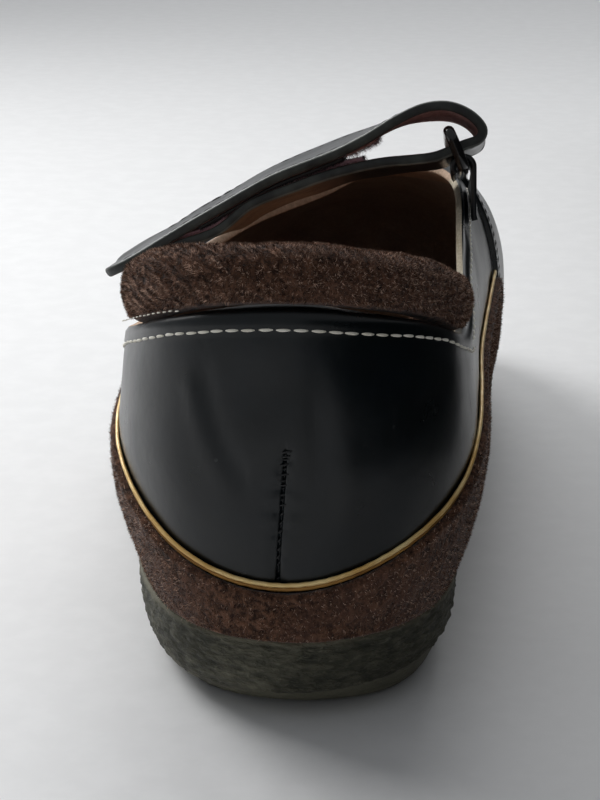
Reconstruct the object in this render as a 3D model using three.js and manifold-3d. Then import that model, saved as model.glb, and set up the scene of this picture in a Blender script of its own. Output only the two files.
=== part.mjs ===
// A left mary jane flat: moulded sole, footbed, lasted leather upper, suede rand with twin piping,
// padded suede collar, and a strap that doubles back through a ring on the inner side.
// Millimetres, +Z up, +Y towards the toe, +X towards the inner side of the foot.
// The origin is on the floor under the middle of the heel tread.
import * as THREE from "three";
import { mergeVertices } from "three/addons/utils/BufferGeometryUtils.js";
import Module from "manifold-3d";

// Driving dimensions
const LENGTH = 262;
const BALL_WIDTH = 96;
const HEEL_WIDTH = 74.5;
const HEEL_BEHIND = 34; // from the origin back to the rearmost point
const BACK_HEIGHT = 81.5; // top of the counter leather above the floor
const INSTEP_HEIGHT = 80; // middle of the throat above the floor
const HEEL_SOLE = 18.7; // thickness of the sole under the heel
const BALL_SOLE = 15;
const TOE_SPRING = 9;
const HEEL_ROCKER = 4; // how far the tread lifts at the very back
const ARCH_RISE = 6;
const CREASE_STEP = 0.9; // how far the band under the crease stands back
const GROOVE_WIDTH = 2.6;
const GROOVE_DEPTH = 1.8;
const LEATHER_WALL = 2.6;
const HEEL_PADDING = 5.6; // added to the wall under the padded collar
const VAMP_STEP = 1.2; // the vamp leather lies over the quarters
const RAND_THICKNESS = 1.8;
const PIPING_DIAMETER = 1.1;
const COLLAR_HEIGHT = 11;
const COLLAR_THICKNESS = 10.5;
const FOOTBED_HEEL = 11;
const FOOTBED_BALL = 5;
const FOOTBED_CUP = 2.5; // how far the footbed's edge rises
const STRAP_WIDTH = 27;
const STRAP_THICKNESS = 2.3;
const STRAP_TILT = 0.28; // the strap follows the fall of the instep, in radians
const STRAP_PLACE = 0.42; // middle of the strap, share of LENGTH from the back
const PATCH_THICKNESS = 1.5;
const RING_WIRE = 2.6;
const RING_SPACING = 8.4; // between the middles of the ring's two long bars
const RING_CORNER = 2.6;
const TAB_WIDTH = 23;
const TAB_THICKNESS = 1.3;
const TAB_FOOT = 0.88; // where the tab ends, from the sole to the topline
const GAP = 0.3;

const STATION_STEPS = 4; // columns of faces between two rows of the last table
const WALL_ROWS = 8;

// The last, one row for each rib from the back of the heel round the inner side to the toe and back.
// side and topSide are shares of the half width there, along and topAlong of LENGTH from the back,
// top of the blended back and instep height; bulges are in shares of the ball width,
// lowUp and highDrop in shares of the rib's rise, reach in shares of its run in plan.
const LAST = [
  { side: 0, along: 0.016, topSide: 0, topAlong: 0.014, top: 1.02,
    lowOut: 0.04, lowUp: 0.36, reach: 0.3, highOut: 0.022, highDrop: 0.36 },
  { side: 0.44, along: 0.036, topSide: 0.455, topAlong: 0.035, top: 0.994,
    lowOut: 0.06, lowUp: 0.36, reach: 0.3, highOut: 0.038, highDrop: 0.36 },
  { side: 0.722, along: 0.092, topSide: 0.775, topAlong: 0.094, top: 0.918,
    lowOut: 0.08, lowUp: 0.36, reach: 0.3, highOut: 0.05, highDrop: 0.36 },
  { side: 0.79, along: 0.176, topSide: 0.9, topAlong: 0.176, top: 0.832,
    lowOut: 0.085, lowUp: 0.36, reach: 0.3, highOut: 0.05, highDrop: 0.36 },
  { side: 0.743, along: 0.282, topSide: 0.87, topAlong: 0.267, top: 0.915,
    lowOut: 0.1, lowUp: 0.36, reach: 0.3, highOut: 0.055, highDrop: 0.36 },
  { side: 0.69, along: 0.397, topSide: 0.79, topAlong: 0.365, top: 0.985,
    lowOut: 0.11, lowUp: 0.36, reach: 0.34, highOut: 0.075, highDrop: 0.36 },
  { side: 0.725, along: 0.511, topSide: 0.69, topAlong: 0.468, top: 1.005,
    lowOut: 0.085, lowUp: 0.37, reach: 0.5, highOut: 0.09, highDrop: 0.26 },
  { side: 0.79, along: 0.634, topSide: 0.56, topAlong: 0.552, top: 1.0,
    lowOut: 0.07, lowUp: 0.41, reach: 0.6, highOut: 0.1, highDrop: 0.2 },
  { side: 0.8, along: 0.742, topSide: 0.44, topAlong: 0.597, top: 0.985,
    lowOut: 0.07, lowUp: 0.43, reach: 0.6, highOut: 0.1, highDrop: 0.19 },
  { side: 0.715, along: 0.847, topSide: 0.335, topAlong: 0.62, top: 0.97,
    lowOut: 0.07, lowUp: 0.42, reach: 0.55, highOut: 0.05, highDrop: 0.2 },
  { side: 0.485, along: 0.937, topSide: 0.23, topAlong: 0.631, top: 0.957,
    lowOut: 0.05, lowUp: 0.42, reach: 0.52, highOut: 0.03, highDrop: 0.21 },
  { side: 0.075, along: 0.972, topSide: 0.125, topAlong: 0.634, top: 0.938,
    lowOut: 0.05, lowUp: 0.43, reach: 0.5, highOut: 0.02, highDrop: 0.22 },
  { side: -0.37, along: 0.943, topSide: 0.02, topAlong: 0.63, top: 0.912,
    lowOut: 0.05, lowUp: 0.42, reach: 0.52, highOut: 0.02, highDrop: 0.21 },
  { side: -0.72, along: 0.868, topSide: -0.1, topAlong: 0.617, top: 0.88,
    lowOut: 0.055, lowUp: 0.4, reach: 0.54, highOut: 0.03, highDrop: 0.2 },
  { side: -0.925, along: 0.766, topSide: -0.27, topAlong: 0.592, top: 0.853,
    lowOut: 0.06, lowUp: 0.39, reach: 0.56, highOut: 0.045, highDrop: 0.2 },
  { side: -0.995, along: 0.656, topSide: -0.455, topAlong: 0.552, top: 0.83,
    lowOut: 0.07, lowUp: 0.38, reach: 0.52, highOut: 0.055, highDrop: 0.22 },
  { side: -0.985, along: 0.55, topSide: -0.635, topAlong: 0.492, top: 0.805,
    lowOut: 0.08, lowUp: 0.36, reach: 0.44, highOut: 0.06, highDrop: 0.28 },
  { side: -0.94, along: 0.44, topSide: -0.79, topAlong: 0.413, top: 0.79,
    lowOut: 0.08, lowUp: 0.35, reach: 0.34, highOut: 0.055, highDrop: 0.34 },
  { side: -0.885, along: 0.33, topSide: -0.885, topAlong: 0.32, top: 0.77,
    lowOut: 0.085, lowUp: 0.35, reach: 0.3, highOut: 0.05, highDrop: 0.36 },
  { side: -0.83, along: 0.218, topSide: -0.945, topAlong: 0.232, top: 0.785,
    lowOut: 0.09, lowUp: 0.36, reach: 0.3, highOut: 0.05, highDrop: 0.36 },
  { side: -0.755, along: 0.124, topSide: -0.9, topAlong: 0.135, top: 0.857,
    lowOut: 0.085, lowUp: 0.36, reach: 0.3, highOut: 0.05, highDrop: 0.36 },
  { side: -0.48, along: 0.044, topSide: -0.545, topAlong: 0.047, top: 0.971,
    lowOut: 0.06, lowUp: 0.36, reach: 0.3, highOut: 0.038, highDrop: 0.36 },
];
const STATIONS = LAST.length;

// The sole's side, on the same rows: margin past the upper and inset of the tread edge in shares of
// the ball's sole thickness, crease height in shares of the thickness there.
const SOLE_EDGE = [
  { margin: 0.09, inset: 0.8, crease: 0.27 },
  { margin: 0.09, inset: 0.72, crease: 0.34 },
  { margin: 0.16, inset: 0.56, crease: 0.47 },
  { margin: 0.2, inset: 0.46, crease: 0.56 },
  { margin: 0.19, inset: 0.44, crease: 0.6 },
  { margin: 0.17, inset: 0.42, crease: 0.6 },
  { margin: 0.16, inset: 0.4, crease: 0.5 },
  { margin: 0.16, inset: 0.35, crease: 0.36 },
  { margin: 0.18, inset: 0.35, crease: 0.3 },
  { margin: 0.18, inset: 0.4, crease: 0.28 },
  { margin: 0.18, inset: 0.5, crease: 0.28 },
  { margin: 0.18, inset: 0.55, crease: 0.28 },
  { margin: 0.18, inset: 0.5, crease: 0.28 },
  { margin: 0.18, inset: 0.42, crease: 0.26 },
  { margin: 0.17, inset: 0.4, crease: 0.24 },
  { margin: 0.16, inset: 0.38, crease: 0.22 },
  { margin: 0.14, inset: 0.38, crease: 0.2 },
  { margin: 0.17, inset: 0.4, crease: 0.2 },
  { margin: 0.22, inset: 0.42, crease: 0.2 },
  { margin: 0.28, inset: 0.46, crease: 0.19 },
  { margin: 0.25, inset: 0.56, crease: 0.2 },
  { margin: 0.12, inset: 0.7, crease: 0.23 },
];

// The rand's top edge above the floor, in shares of BACK_HEIGHT, on the same rows; the vamp covers
// the rows in front, so only those at the rear count.
const RAND_TOP = [
  0.357, 0.41, 0.51, 0.612, 0.64, 0.645, 0.655, 0.65, 0.62, 0.59, 0.57, 0.56, 0.57, 0.59, 0.62, 0.64,
  0.64, 0.64, 0.634, 0.615, 0.535, 0.41,
];
const VAMP_ROWS = { inner: 6.35, outer: 15.7 }; // rows of the table where the vamp's seam crosses
const COLLAR_ROWS = { inner: 3.05, outer: STATIONS - 2.35 }; // rows where the padded collar ends

// The strap's free run in its own plane across the foot, from just over the outer topline, in shares
// of the distance and height of the inner topline, where the ring hangs.
const STRAP_RUN = [
  { across: -0.734, height: 0.861 },
  { across: -0.507, height: 0.917 },
  { across: -0.164, height: 0.985 },
  { across: 0.164, height: 1.049 },
  { across: 0.447, height: 1.08 },
  { across: 0.641, height: 1.092 },
  { across: 0.798, height: 1.102 },
  { across: 0.977, height: 1.134 },
  { across: 1.071, height: 1.152 },
  { across: 1.086, height: 1.172 },
  { across: 1.014, height: 1.207 },
  { across: 0.883, height: 1.231 },
  { across: 0.719, height: 1.231 },
  { across: 0.507, height: 1.206 },
  { across: 0.294, height: 1.162 },
  { across: -0.039, height: 1.104 },
  { across: -0.349, height: 1.051 },
  { across: -0.616, height: 0.99 },
  { across: -0.932, height: 0.916 },
  { across: -1.2, height: 0.846 },
  { across: -1.57, height: 0.76 },
];
const STRAP_OVER_EDGE = 1.2; // extra room under the strap where it leaves the topline
const STRAP_END = STRAP_WIDTH / 4; // length of the rounded end
const PATCH_SHARE = 0.78; // width of the touch patches against the strap
const LOOP_PATCH = { from: 0.155, to: 0.28 };
const HOOK_PATCH = { from: 0.68, to: 0.79 };
const RING_INNER_BAR = { across: 0.868, height: 1.166 };
const RING_LEAN = 1.15; // slope of the ring from its outer bar up to its inner bar, in radians

const wasm = await Module();
wasm.setup();

const v3 = (x, y, z) => new THREE.Vector3(x, y, z);
const mix = (a, b, share) => a + (b - a) * share;
const clamp = (x, low, high) => Math.min(high, Math.max(low, x));
const smooth = (low, high, x) => {
  const s = clamp((x - low) / (high - low), 0, 1);
  return s * s * (3 - 2 * s);
};

// A smooth closed curve through numbers given at the rows 0, 1, 2 and so on.
function roundSpline(values) {
  const n = values.length;
  const at = (i) => values[(i + n) % n];
  const bend = new Array(n).fill(0);
  for (let pass = 0; pass < 60; pass++)
    for (let i = 0; i < n; i++) {
      const turn = 6 * (at(i + 1) - 2 * at(i) + at(i - 1));
      bend[i] = (turn - bend[(i + 1) % n] - bend[(i + n - 1) % n]) / 4;
    }
  return (row) => {
    const r = ((row % n) + n) % n;
    const i = Math.floor(r);
    const j = (i + 1) % n;
    const b = r - i;
    const a = 1 - b;
    const curve = ((a ** 3 - a) * bend[i] + (b ** 3 - b) * bend[j]) / 6;
    return a * values[i] + b * values[j] + curve;
  };
}

const columnOf = (table, name) => roundSpline(table.map((row) => row[name]));
const alongAt = (share) => share * LENGTH - HEEL_BEHIND;
const forefootShare = (y) => smooth(0.2, 0.6, (y + HEEL_BEHIND) / LENGTH);
const halfWidthAt = (y) => mix(HEEL_WIDTH, BALL_WIDTH, forefootShare(y)) / 2;

// Height of the sole's upper face and of the tread, along the foot.
const BALL_AT = alongAt(0.62);
const TOE_AT = alongAt(0.985);
const toeLift = (y) => {
  const s = Math.max(0, (y - BALL_AT) / (TOE_AT - BALL_AT));
  return TOE_SPRING * s * s;
};
const soleThickness = (y) => mix(HEEL_SOLE, BALL_SOLE, forefootShare(y));
const soleTop = (y) => soleThickness(y) + toeLift(y);
const FLAT_HEEL = { back: alongAt(0.085), front: alongAt(0.26) };
const FLAT_BALL = { back: alongAt(0.5), front: BALL_AT };
function treadHeight(x, y) {
  if (y < FLAT_HEEL.back) {
    const s = (FLAT_HEEL.back - y) / (FLAT_HEEL.back - alongAt(0.02));
    return HEEL_ROCKER * s ** 1.6;
  }
  if (y > FLAT_BALL.front) return toeLift(y);
  if (y < FLAT_HEEL.front || y > FLAT_BALL.back) return 0;
  const s = (y - FLAT_HEEL.front) / (FLAT_BALL.back - FLAT_HEEL.front);
  const inner = mix(0.35, 1, smooth(-BALL_WIDTH / 3, BALL_WIDTH / 4, x));
  return ARCH_RISE * Math.sin(Math.PI * s) ** 2 * inner;
}

// The edge where the upper meets the sole, in plan, and its outward direction.
const featherPoints = LAST.map((row) => {
  const y = alongAt(row.along);
  return v3(row.side * halfWidthAt(y), y, 0);
});
const featherX = roundSpline(featherPoints.map((p) => p.x));
const featherY = roundSpline(featherPoints.map((p) => p.y));
const feather = (row) => v3(featherX(row), featherY(row), 0);
function outward(row) {
  const step = 0.02;
  const run = feather(row + step).sub(feather(row - step));
  return v3(run.y, -run.x, 0).normalize();
}

// Four handles for each rib of the last: its foot, two that shape the wall, and its top.
const ribs = LAST.map((row, i) => {
  const foot = feather(i);
  foot.z = soleTop(foot.y) + GAP;
  const topY = alongAt(row.topAlong);
  const height = mix(BACK_HEIGHT, INSTEP_HEIGHT, forefootShare(topY)) * row.top;
  const top = v3(row.topSide * halfWidthAt(topY), topY, height);
  const rise = top.z - foot.z;
  const out = outward(i);
  const low = foot.clone().addScaledVector(out, row.lowOut * BALL_WIDTH);
  low.z += row.lowUp * rise;
  const high = top.clone().addScaledVector(out, row.highOut * BALL_WIDTH);
  high.x += row.reach * (foot.x - top.x);
  high.y += row.reach * (foot.y - top.y);
  high.z -= row.highDrop * rise;
  return [foot, low, high, top];
});
const handleCurves = [0, 1, 2, 3].map((h) =>
  ["x", "y", "z"].map((axis) => roundSpline(ribs.map((rib) => rib[h][axis]))),
);
const handle = (h, row) => v3(...handleCurves[h].map((curve) => curve(row)));

// A point of the last's outside: row goes round the shoe, up goes from the sole (0) to the topline (1).
function lastPoint(row, up) {
  const down = 1 - up;
  return v3(0, 0, 0)
    .addScaledVector(handle(0, row), down ** 3)
    .addScaledVector(handle(1, row), 3 * down * down * up)
    .addScaledVector(handle(2, row), 3 * down * up * up)
    .addScaledVector(handle(3, row), up ** 3);
}
function lastNormal(row, up) {
  const step = 0.01;
  const low = Math.max(0, up - step);
  const high = Math.min(1, up + step);
  const across = lastPoint(row + step, up).sub(lastPoint(row - step, up));
  const rise = lastPoint(row, high).sub(lastPoint(row, low));
  return across.cross(rise).normalize();
}
function offLast(row, up, out) {
  const p = lastPoint(row, up).addScaledVector(lastNormal(row, up), out);
  p.z = Math.max(p.z, soleTop(p.y) + GAP);
  return p;
}
function upAtHeight(row, height) {
  let low = 0;
  let high = 1;
  for (let pass = 0; pass < 30; pass++) {
    const middle = (low + high) / 2;
    if (lastPoint(row, middle).z < height) low = middle;
    else high = middle;
  }
  return (low + high) / 2;
}

// A closed body through rings of points. around joins the last ring to the first; else each end is
// closed between the two halves of its ring. open keeps a ring's ends apart, for a shared spine.
function loft(rings, { around = false, open = false } = {}) {
  const rows = rings.length;
  const size = rings[0].length;
  const points = rings.flat();
  const faces = [];
  for (let i = 0; i < (around ? rows : rows - 1); i++)
    for (let j = 0; j < (open ? size - 1 : size); j++) {
      const next = (i + 1) % rows;
      const beside = (j + 1) % size;
      const [a, b, c, d] = [i * size + j, next * size + j, next * size + beside, i * size + beside];
      faces.push([a, b, c], [a, c, d]);
    }
  if (!around)
    for (const first of [0, (rows - 1) * size])
      for (let j = 0; j < size / 2 - 1; j++) {
        const [a, b] = [first + j, first + j + 1];
        const [c, d] = [first + size - 2 - j, first + size - 1 - j];
        if (first) faces.push([a, d, c], [a, c, b]);
        else faces.push([a, b, c], [a, c, d]);
      }
  const geometry = new THREE.BufferGeometry();
  geometry.setAttribute("position", new THREE.Float32BufferAttribute(points.flatMap((p) => p.toArray()), 3));
  geometry.setIndex(faces.flat());
  return facingOut(geometry);
}

// Merges shared points, drops faces without area and turns the body's faces outwards.
function facingOut(geometry) {
  const merged = mergeVertices(geometry, 1e-3);
  const p = merged.attributes.position;
  const index = merged.index.array;
  const corner = (i) => v3(p.getX(i), p.getY(i), p.getZ(i));
  const kept = [];
  let volume = 0;
  for (let i = 0; i < index.length; i += 3) {
    const [a, b, c] = [index[i], index[i + 1], index[i + 2]];
    if (a === b || b === c || c === a) continue;
    kept.push([a, b, c]);
    volume += corner(a).dot(corner(b).cross(corner(c)));
  }
  merged.setIndex(kept.map(([a, b, c]) => (volume < 0 ? [a, c, b] : [a, b, c])).flat());
  return merged;
}

function toSolid(geometry) {
  const bare = new THREE.BufferGeometry();
  bare.setAttribute("position", geometry.getAttribute("position"));
  if (geometry.index) bare.setIndex(geometry.index);
  const merged = mergeVertices(bare, 1e-4);
  const vertProperties = merged.attributes.position.array;
  const triVerts = new Uint32Array(merged.index.array);
  return new wasm.Manifold(new wasm.Mesh({ numProp: 3, vertProperties, triVerts }));
}
function toGeometry(solid) {
  const { vertProperties, triVerts } = solid.getMesh();
  const geometry = new THREE.BufferGeometry();
  geometry.setAttribute("position", new THREE.BufferAttribute(vertProperties, 3));
  geometry.setIndex(new THREE.BufferAttribute(triVerts, 1));
  return geometry;
}

const range = (from, to, count) => Array.from({ length: count + 1 }, (_, i) => mix(from, to, i / count));

// The moulded sole: each ring runs from the spine of its upper face out to the rim, down the side
// past the crease, round the tread edge and back in to the spine of the tread.
function soleSolid() {
  const margin = columnOf(SOLE_EDGE, "margin");
  const inset = columnOf(SOLE_EDGE, "inset");
  const crease = columnOf(SOLE_EDGE, "crease");
  const roundness = 2.3;
  const spine = (row) => {
    const share = Math.min(row, STATIONS - row) / (STATIONS / 2);
    return v3(0, mix(alongAt(0.17), alongAt(0.83), clamp(share * 1.24 - 0.12, 0, 1)), 0);
  };
  const rings = range(0, STATIONS, STATIONS * 3).slice(0, -1).map((row) => {
    const out = outward(row);
    const rim = feather(row).addScaledVector(out, margin(row) * BALL_SOLE);
    const rimTop = soleTop(rim.y);
    const middle = spine(row);
    const edgeIn = inset(row) * BALL_SOLE;
    const tread = rim.clone().addScaledVector(out, -edgeIn);
    const floor = treadHeight(tread.x, tread.y);
    const creaseDepth = 1 - crease(row);
    const side = (depth, back) => {
      const curve = edgeIn * (1 - Math.sqrt(Math.max(0, 1 - depth ** roundness)));
      const p = rim.clone().addScaledVector(out, -curve - back);
      p.z = mix(rimTop, floor, depth);
      return p;
    };
    const upper = [0, 0.5, 0.93].map((share) => {
      const p = middle.clone().lerp(rim, share);
      p.z = soleTop(p.y);
      return p;
    });
    const above = [0.06, 0.3, 0.65].map((share) => side(creaseDepth * share, 0));
    above.push(side(creaseDepth * 0.97, 0));
    const below = [0.02, 0.4, 0.7, 0.88, 1].map((share) => {
      const depth = mix(creaseDepth, 1, share);
      return side(depth, CREASE_STEP * (1 - smooth(0.6, 1, share)));
    });
    const under = [0.45, 1].map((share) => {
      const p = tread.clone().lerp(middle, share);
      p.z = treadHeight(p.x, p.y);
      return p;
    });
    rim.z = rimTop - GAP;
    return [...upper, rim, ...above, ...below, ...under];
  });
  return toGeometry(grooved(toSolid(loft(rings, { around: true, open: true }))));
}

// Grooves part the tread into lugs under the heel and the ball, each a shallow bow across the foot.
function grooved(sole) {
  const heel = [-0.075, 0.075, 0.15].map((share) => share * LENGTH * 0.5);
  const ball = range(0.5, 0.8, 8).map(alongAt);
  const bow = BALL_WIDTH * 1.5;
  const band = new THREE.Shape();
  const reach = Math.asin(BALL_WIDTH / 2 / bow);
  band.absarc(0, -bow, bow + GROOVE_WIDTH / 2, Math.PI / 2 - reach, Math.PI / 2 + reach, false);
  band.absarc(0, -bow, bow - GROOVE_WIDTH / 2, Math.PI / 2 + reach, Math.PI / 2 - reach, true);
  const depth = GROOVE_DEPTH + BALL_SOLE / 3;
  return [...heel, ...ball].reduce((solid, y) => {
    const cutter = new THREE.ExtrudeGeometry(band, { depth, bevelEnabled: false, curveSegments: 4 });
    cutter.translate(0, y, treadHeight(0, y) + GROOVE_DEPTH - depth);
    return solid.subtract(toSolid(cutter));
  }, sole);
}

// The upper's wall: thin leather in front, padded under the collar.
function wallAt(row, up) {
  const behind = Math.min(Math.abs(row), STATIONS - row);
  const padded = 1 - smooth(COLLAR_ROWS.inner - 0.6, COLLAR_ROWS.inner + 0.7, behind);
  return LEATHER_WALL + HEEL_PADDING * padded * smooth(0.25, 0.95, up);
}

// One hollow shell from the sole to the topline, with the vamp as a step in its wall.
function upperSolid() {
  const seam = 0.015;
  const plain = (from, to) => range(from, to, Math.round((to - from) * STATION_STEPS));
  const rows = [
    ...plain(0, VAMP_ROWS.inner - seam).map((row) => ({ row, step: 0 })),
    ...plain(VAMP_ROWS.inner, VAMP_ROWS.outer).map((row) => ({ row, step: VAMP_STEP })),
    ...plain(VAMP_ROWS.outer + seam, STATIONS).slice(0, -1).map((row) => ({ row, step: 0 })),
  ];
  return loft(
    rows.map(({ row, step }) => [
      ...range(0, 1, WALL_ROWS).map((up) => offLast(row, up, step)),
      ...range(1, 0, WALL_ROWS - 2).map((up) => offLast(row, up, -wallAt(row, up))),
    ]),
    { around: true },
  );
}

// The suede rand lies on the rear half of the upper, from the sole up to the piping.
const onUpper = GAP * 1.45;
const randTop = roundSpline(RAND_TOP.map((share) => share * BACK_HEIGHT));
const SEAM_ROOM = 0.06;
const rearRows = (() => {
  const first = VAMP_ROWS.outer + SEAM_ROOM - STATIONS;
  const last = VAMP_ROWS.inner - SEAM_ROOM;
  const between = range(-STATIONS, STATIONS, 2 * STATIONS * STATION_STEPS);
  return [first, ...between.filter((row) => row > first + 0.05 && row < last - 0.05), last];
})();
function randSolid() {
  return loft(
    rearRows.map((row) => {
      const top = upAtHeight(row, randTop(row));
      const edge = (share) => RAND_THICKNESS * (share === 1 ? 0.75 : 1);
      return [
        ...range(0, 1, 5).map((share) => offLast(row, share * top, onUpper + edge(share))),
        ...range(top, 0, 5).map((up) => offLast(row, up, onUpper)),
      ];
    }),
  );
}

// Two cords side by side along the rand's top edge, made as one piece.
function pipingSolid() {
  const r = PIPING_DIAMETER / 2;
  return loft(
    rearRows.map((row) => {
      const base = randTop(row) + GAP * 1.3;
      const section = [[0, 0], [0, 0.7], [0.5, 1], [1, 0.45], [1.5, 1], [2, 0.7], [2, 0]];
      return section.map(([upShare, outShare]) => {
        const up = upAtHeight(row, base + upShare * 2 * r);
        return offLast(row, up, onUpper + outShare * 2 * r);
      });
    }),
  );
}

// The padded collar sits on the counter's top edge, round the back of the heel.
function collarSolid() {
  const sides = 14;
  const rows = range(COLLAR_ROWS.outer - STATIONS, COLLAR_ROWS.inner, Math.round(5.4 * STATION_STEPS) + 4);
  const first = rows[0];
  const last = rows[rows.length - 1];
  return loft(
    rows.map((row) => {
      const toEnd = Math.min(row - first, last - row);
      const full = Math.sqrt(1 - (1 - clamp(toEnd / 0.3, 0.12, 1)) ** 2);
      const out = outward(row);
      const base = lastPoint(row, 1);
      const half = COLLAR_HEIGHT / 2;
      return Array.from({ length: sides }, (_, j) => {
        const turn = (2 * Math.PI * j) / sides;
        const squarish = 1 / Math.max(Math.abs(Math.cos(turn)), Math.abs(Math.sin(turn))) ** 0.45;
        const rise = half + squarish * half * Math.sin(turn) * 0.98 * mix(0.8, 1, full);
        const depth = squarish * (COLLAR_THICKNESS / 2) * Math.cos(turn) * full;
        const inset = COLLAR_THICKNESS / 2 - 0.1 * COLLAR_THICKNESS;
        const p = base.clone().addScaledVector(out, depth - inset);
        p.z += GAP + Math.max(0, rise);
        return p;
      });
    }),
  );
}

// The footbed fills the bottom of the shoe, thick and cupped under the heel, thin under the toes.
function footbedSolid() {
  const inset = LEATHER_WALL + 3 * GAP;
  const spine = (row) => {
    const share = Math.min(row, STATIONS - row) / (STATIONS / 2);
    return v3(0, mix(alongAt(0.17), alongAt(0.8), clamp(share * 1.24 - 0.12, 0, 1)), 0);
  };
  const thickness = (y) => mix(FOOTBED_HEEL, FOOTBED_BALL, smooth(0.25, 0.65, (y + HEEL_BEHIND) / LENGTH));
  const rings = range(0, STATIONS, STATIONS * 2).slice(0, -1).map((row) => {
    const edge = feather(row).addScaledVector(outward(row), -inset);
    const middle = spine(row);
    const at = (share, height) => {
      const p = middle.clone().lerp(edge, share);
      p.z = soleTop(p.y) + height(p.y);
      return p;
    };
    const cup = (share) => (y) => thickness(y) + FOOTBED_CUP * share ** 4 * (1 - forefootShare(y));
    return [
      at(0, cup(0)),
      at(0.45, cup(0.45)),
      at(0.75, cup(0.75)),
      at(0.95, cup(0.95)),
      at(1, (y) => cup(0.95)(y) - 0.08 * FOOTBED_HEEL),
      at(1, () => GAP * 1.4),
      at(0.5, () => GAP * 1.4),
      at(0, () => GAP * 1.4),
    ];
  });
  return loft(rings, { around: true, open: true });
}

// The row of the last whose rib passes a place along the foot at the given height share.
function rowAtAlong(along, up, from, to) {
  const rising = lastPoint(to, up).y > lastPoint(from, up).y;
  let [low, high] = rising ? [from, to] : [to, from];
  for (let pass = 0; pass < 30; pass++) {
    const middle = (low + high) / 2;
    if (lastPoint(middle, up).y < along) low = middle;
    else high = middle;
  }
  return (low + high) / 2;
}
const outerRow = (along, up) => rowAtAlong(along, up, VAMP_ROWS.outer - 1.5, STATIONS - 2);
const innerRow = (along, up) => rowAtAlong(along, up, 3, VAMP_ROWS.inner + 1);
const STRAP_ALONG = alongAt(STRAP_PLACE);
const innerTop = lastPoint(innerRow(STRAP_ALONG, 1), 1);
const overFoot = (place) => v3(place.across * innerTop.x, STRAP_ALONG, place.height * innerTop.z);

// The strap starts flat on the outer quarter and then runs free: over the instep, up through the
// ring, round an open loop and back. Each ring of points has its middle, its direction across the
// strap and its direction out of it.
const onQuarter = 3.4 * GAP + STRAP_THICKNESS / 2;
const strapAcross = v3(0, Math.cos(STRAP_TILT), -Math.sin(STRAP_TILT));
const strapPath = (() => {
  const rootAt = (up, out) => offLast(outerRow(STRAP_ALONG, up), up, out);
  const start = rootAt(0.98, onQuarter);
  const edge = rootAt(1, onQuarter);
  edge.z += STRAP_THICKNESS * STRAP_OVER_EDGE;
  const over = edge.clone();
  over.x += LEATHER_WALL;
  over.z += LEATHER_WALL * 0.8;
  const run = [start, edge, over, ...STRAP_RUN.map(overFoot)];
  return new THREE.CatmullRomCurve3(run, false, "centripetal");
})();
const edgeAcross = (() => {
  const half = STRAP_WIDTH / 2;
  const ahead = offLast(outerRow(STRAP_ALONG + half, 1), 1, onQuarter);
  const behind = offLast(outerRow(STRAP_ALONG - half, 1), 1, onQuarter);
  return ahead.sub(behind).normalize();
})();

// A flat ribbon along the free run between two shares of its length, standing off it by lift.
function ribbonRings({ from, to, width, thickness, lift = 0, steps, roundEnd = 0 }) {
  const total = strapPath.getLength();
  return range(from, to, steps).map((share) => {
    const point = strapPath.getPointAt(share);
    const run = strapPath.getTangentAt(share);
    const settled = smooth(0, 0.14, share);
    const across = edgeAcross.clone().lerp(strapAcross, settled).normalize();
    const up = run.clone().cross(across).normalize();
    const left = (to - share) * total;
    const half = (width / 2) * (roundEnd ? Math.sqrt(1 - (1 - clamp(left / roundEnd, 0.02, 1)) ** 2) : 1);
    return ribbonSection(half, thickness / 2).map(([side, rise]) =>
      point.clone().addScaledVector(across, side).addScaledVector(up, rise + lift));
  });
}
function ribbonSection(half, skin) {
  const soft = Math.min(half * 0.5, skin * 0.6);
  return [
    [-half, -skin + soft], [-half, skin - soft], [-half + soft, skin],
    [half - soft, skin], [half, skin - soft], [half, -skin + soft],
    [half - soft, -skin], [-half + soft, -skin],
  ];
}
function strapSolid() {
  const section = ribbonSection(STRAP_WIDTH / 2, STRAP_THICKNESS / 2);
  const rooted = range(0, 0.8, 2).map((share) =>
    section.map(([side, rise]) => {
      const row = outerRow(STRAP_ALONG + side, 1);
      const low = upAtHeight(row, randTop(row) + 2 * PIPING_DIAMETER + 4 * GAP);
      return offLast(row, mix(low, 1, share), onQuarter + rise);
    }));
  const free = ribbonRings({
    from: 0, to: 1, width: STRAP_WIDTH, thickness: STRAP_THICKNESS, steps: 60, roundEnd: STRAP_END,
  });
  return loft([...rooted, ...free]);
}
function patchSolid(from, to) {
  const lift = STRAP_THICKNESS / 2 + GAP + PATCH_THICKNESS / 2;
  return loft(ribbonRings({
    from, to, width: STRAP_WIDTH * PATCH_SHARE, thickness: PATCH_THICKNESS, lift, steps: 10,
  }));
}

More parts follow.
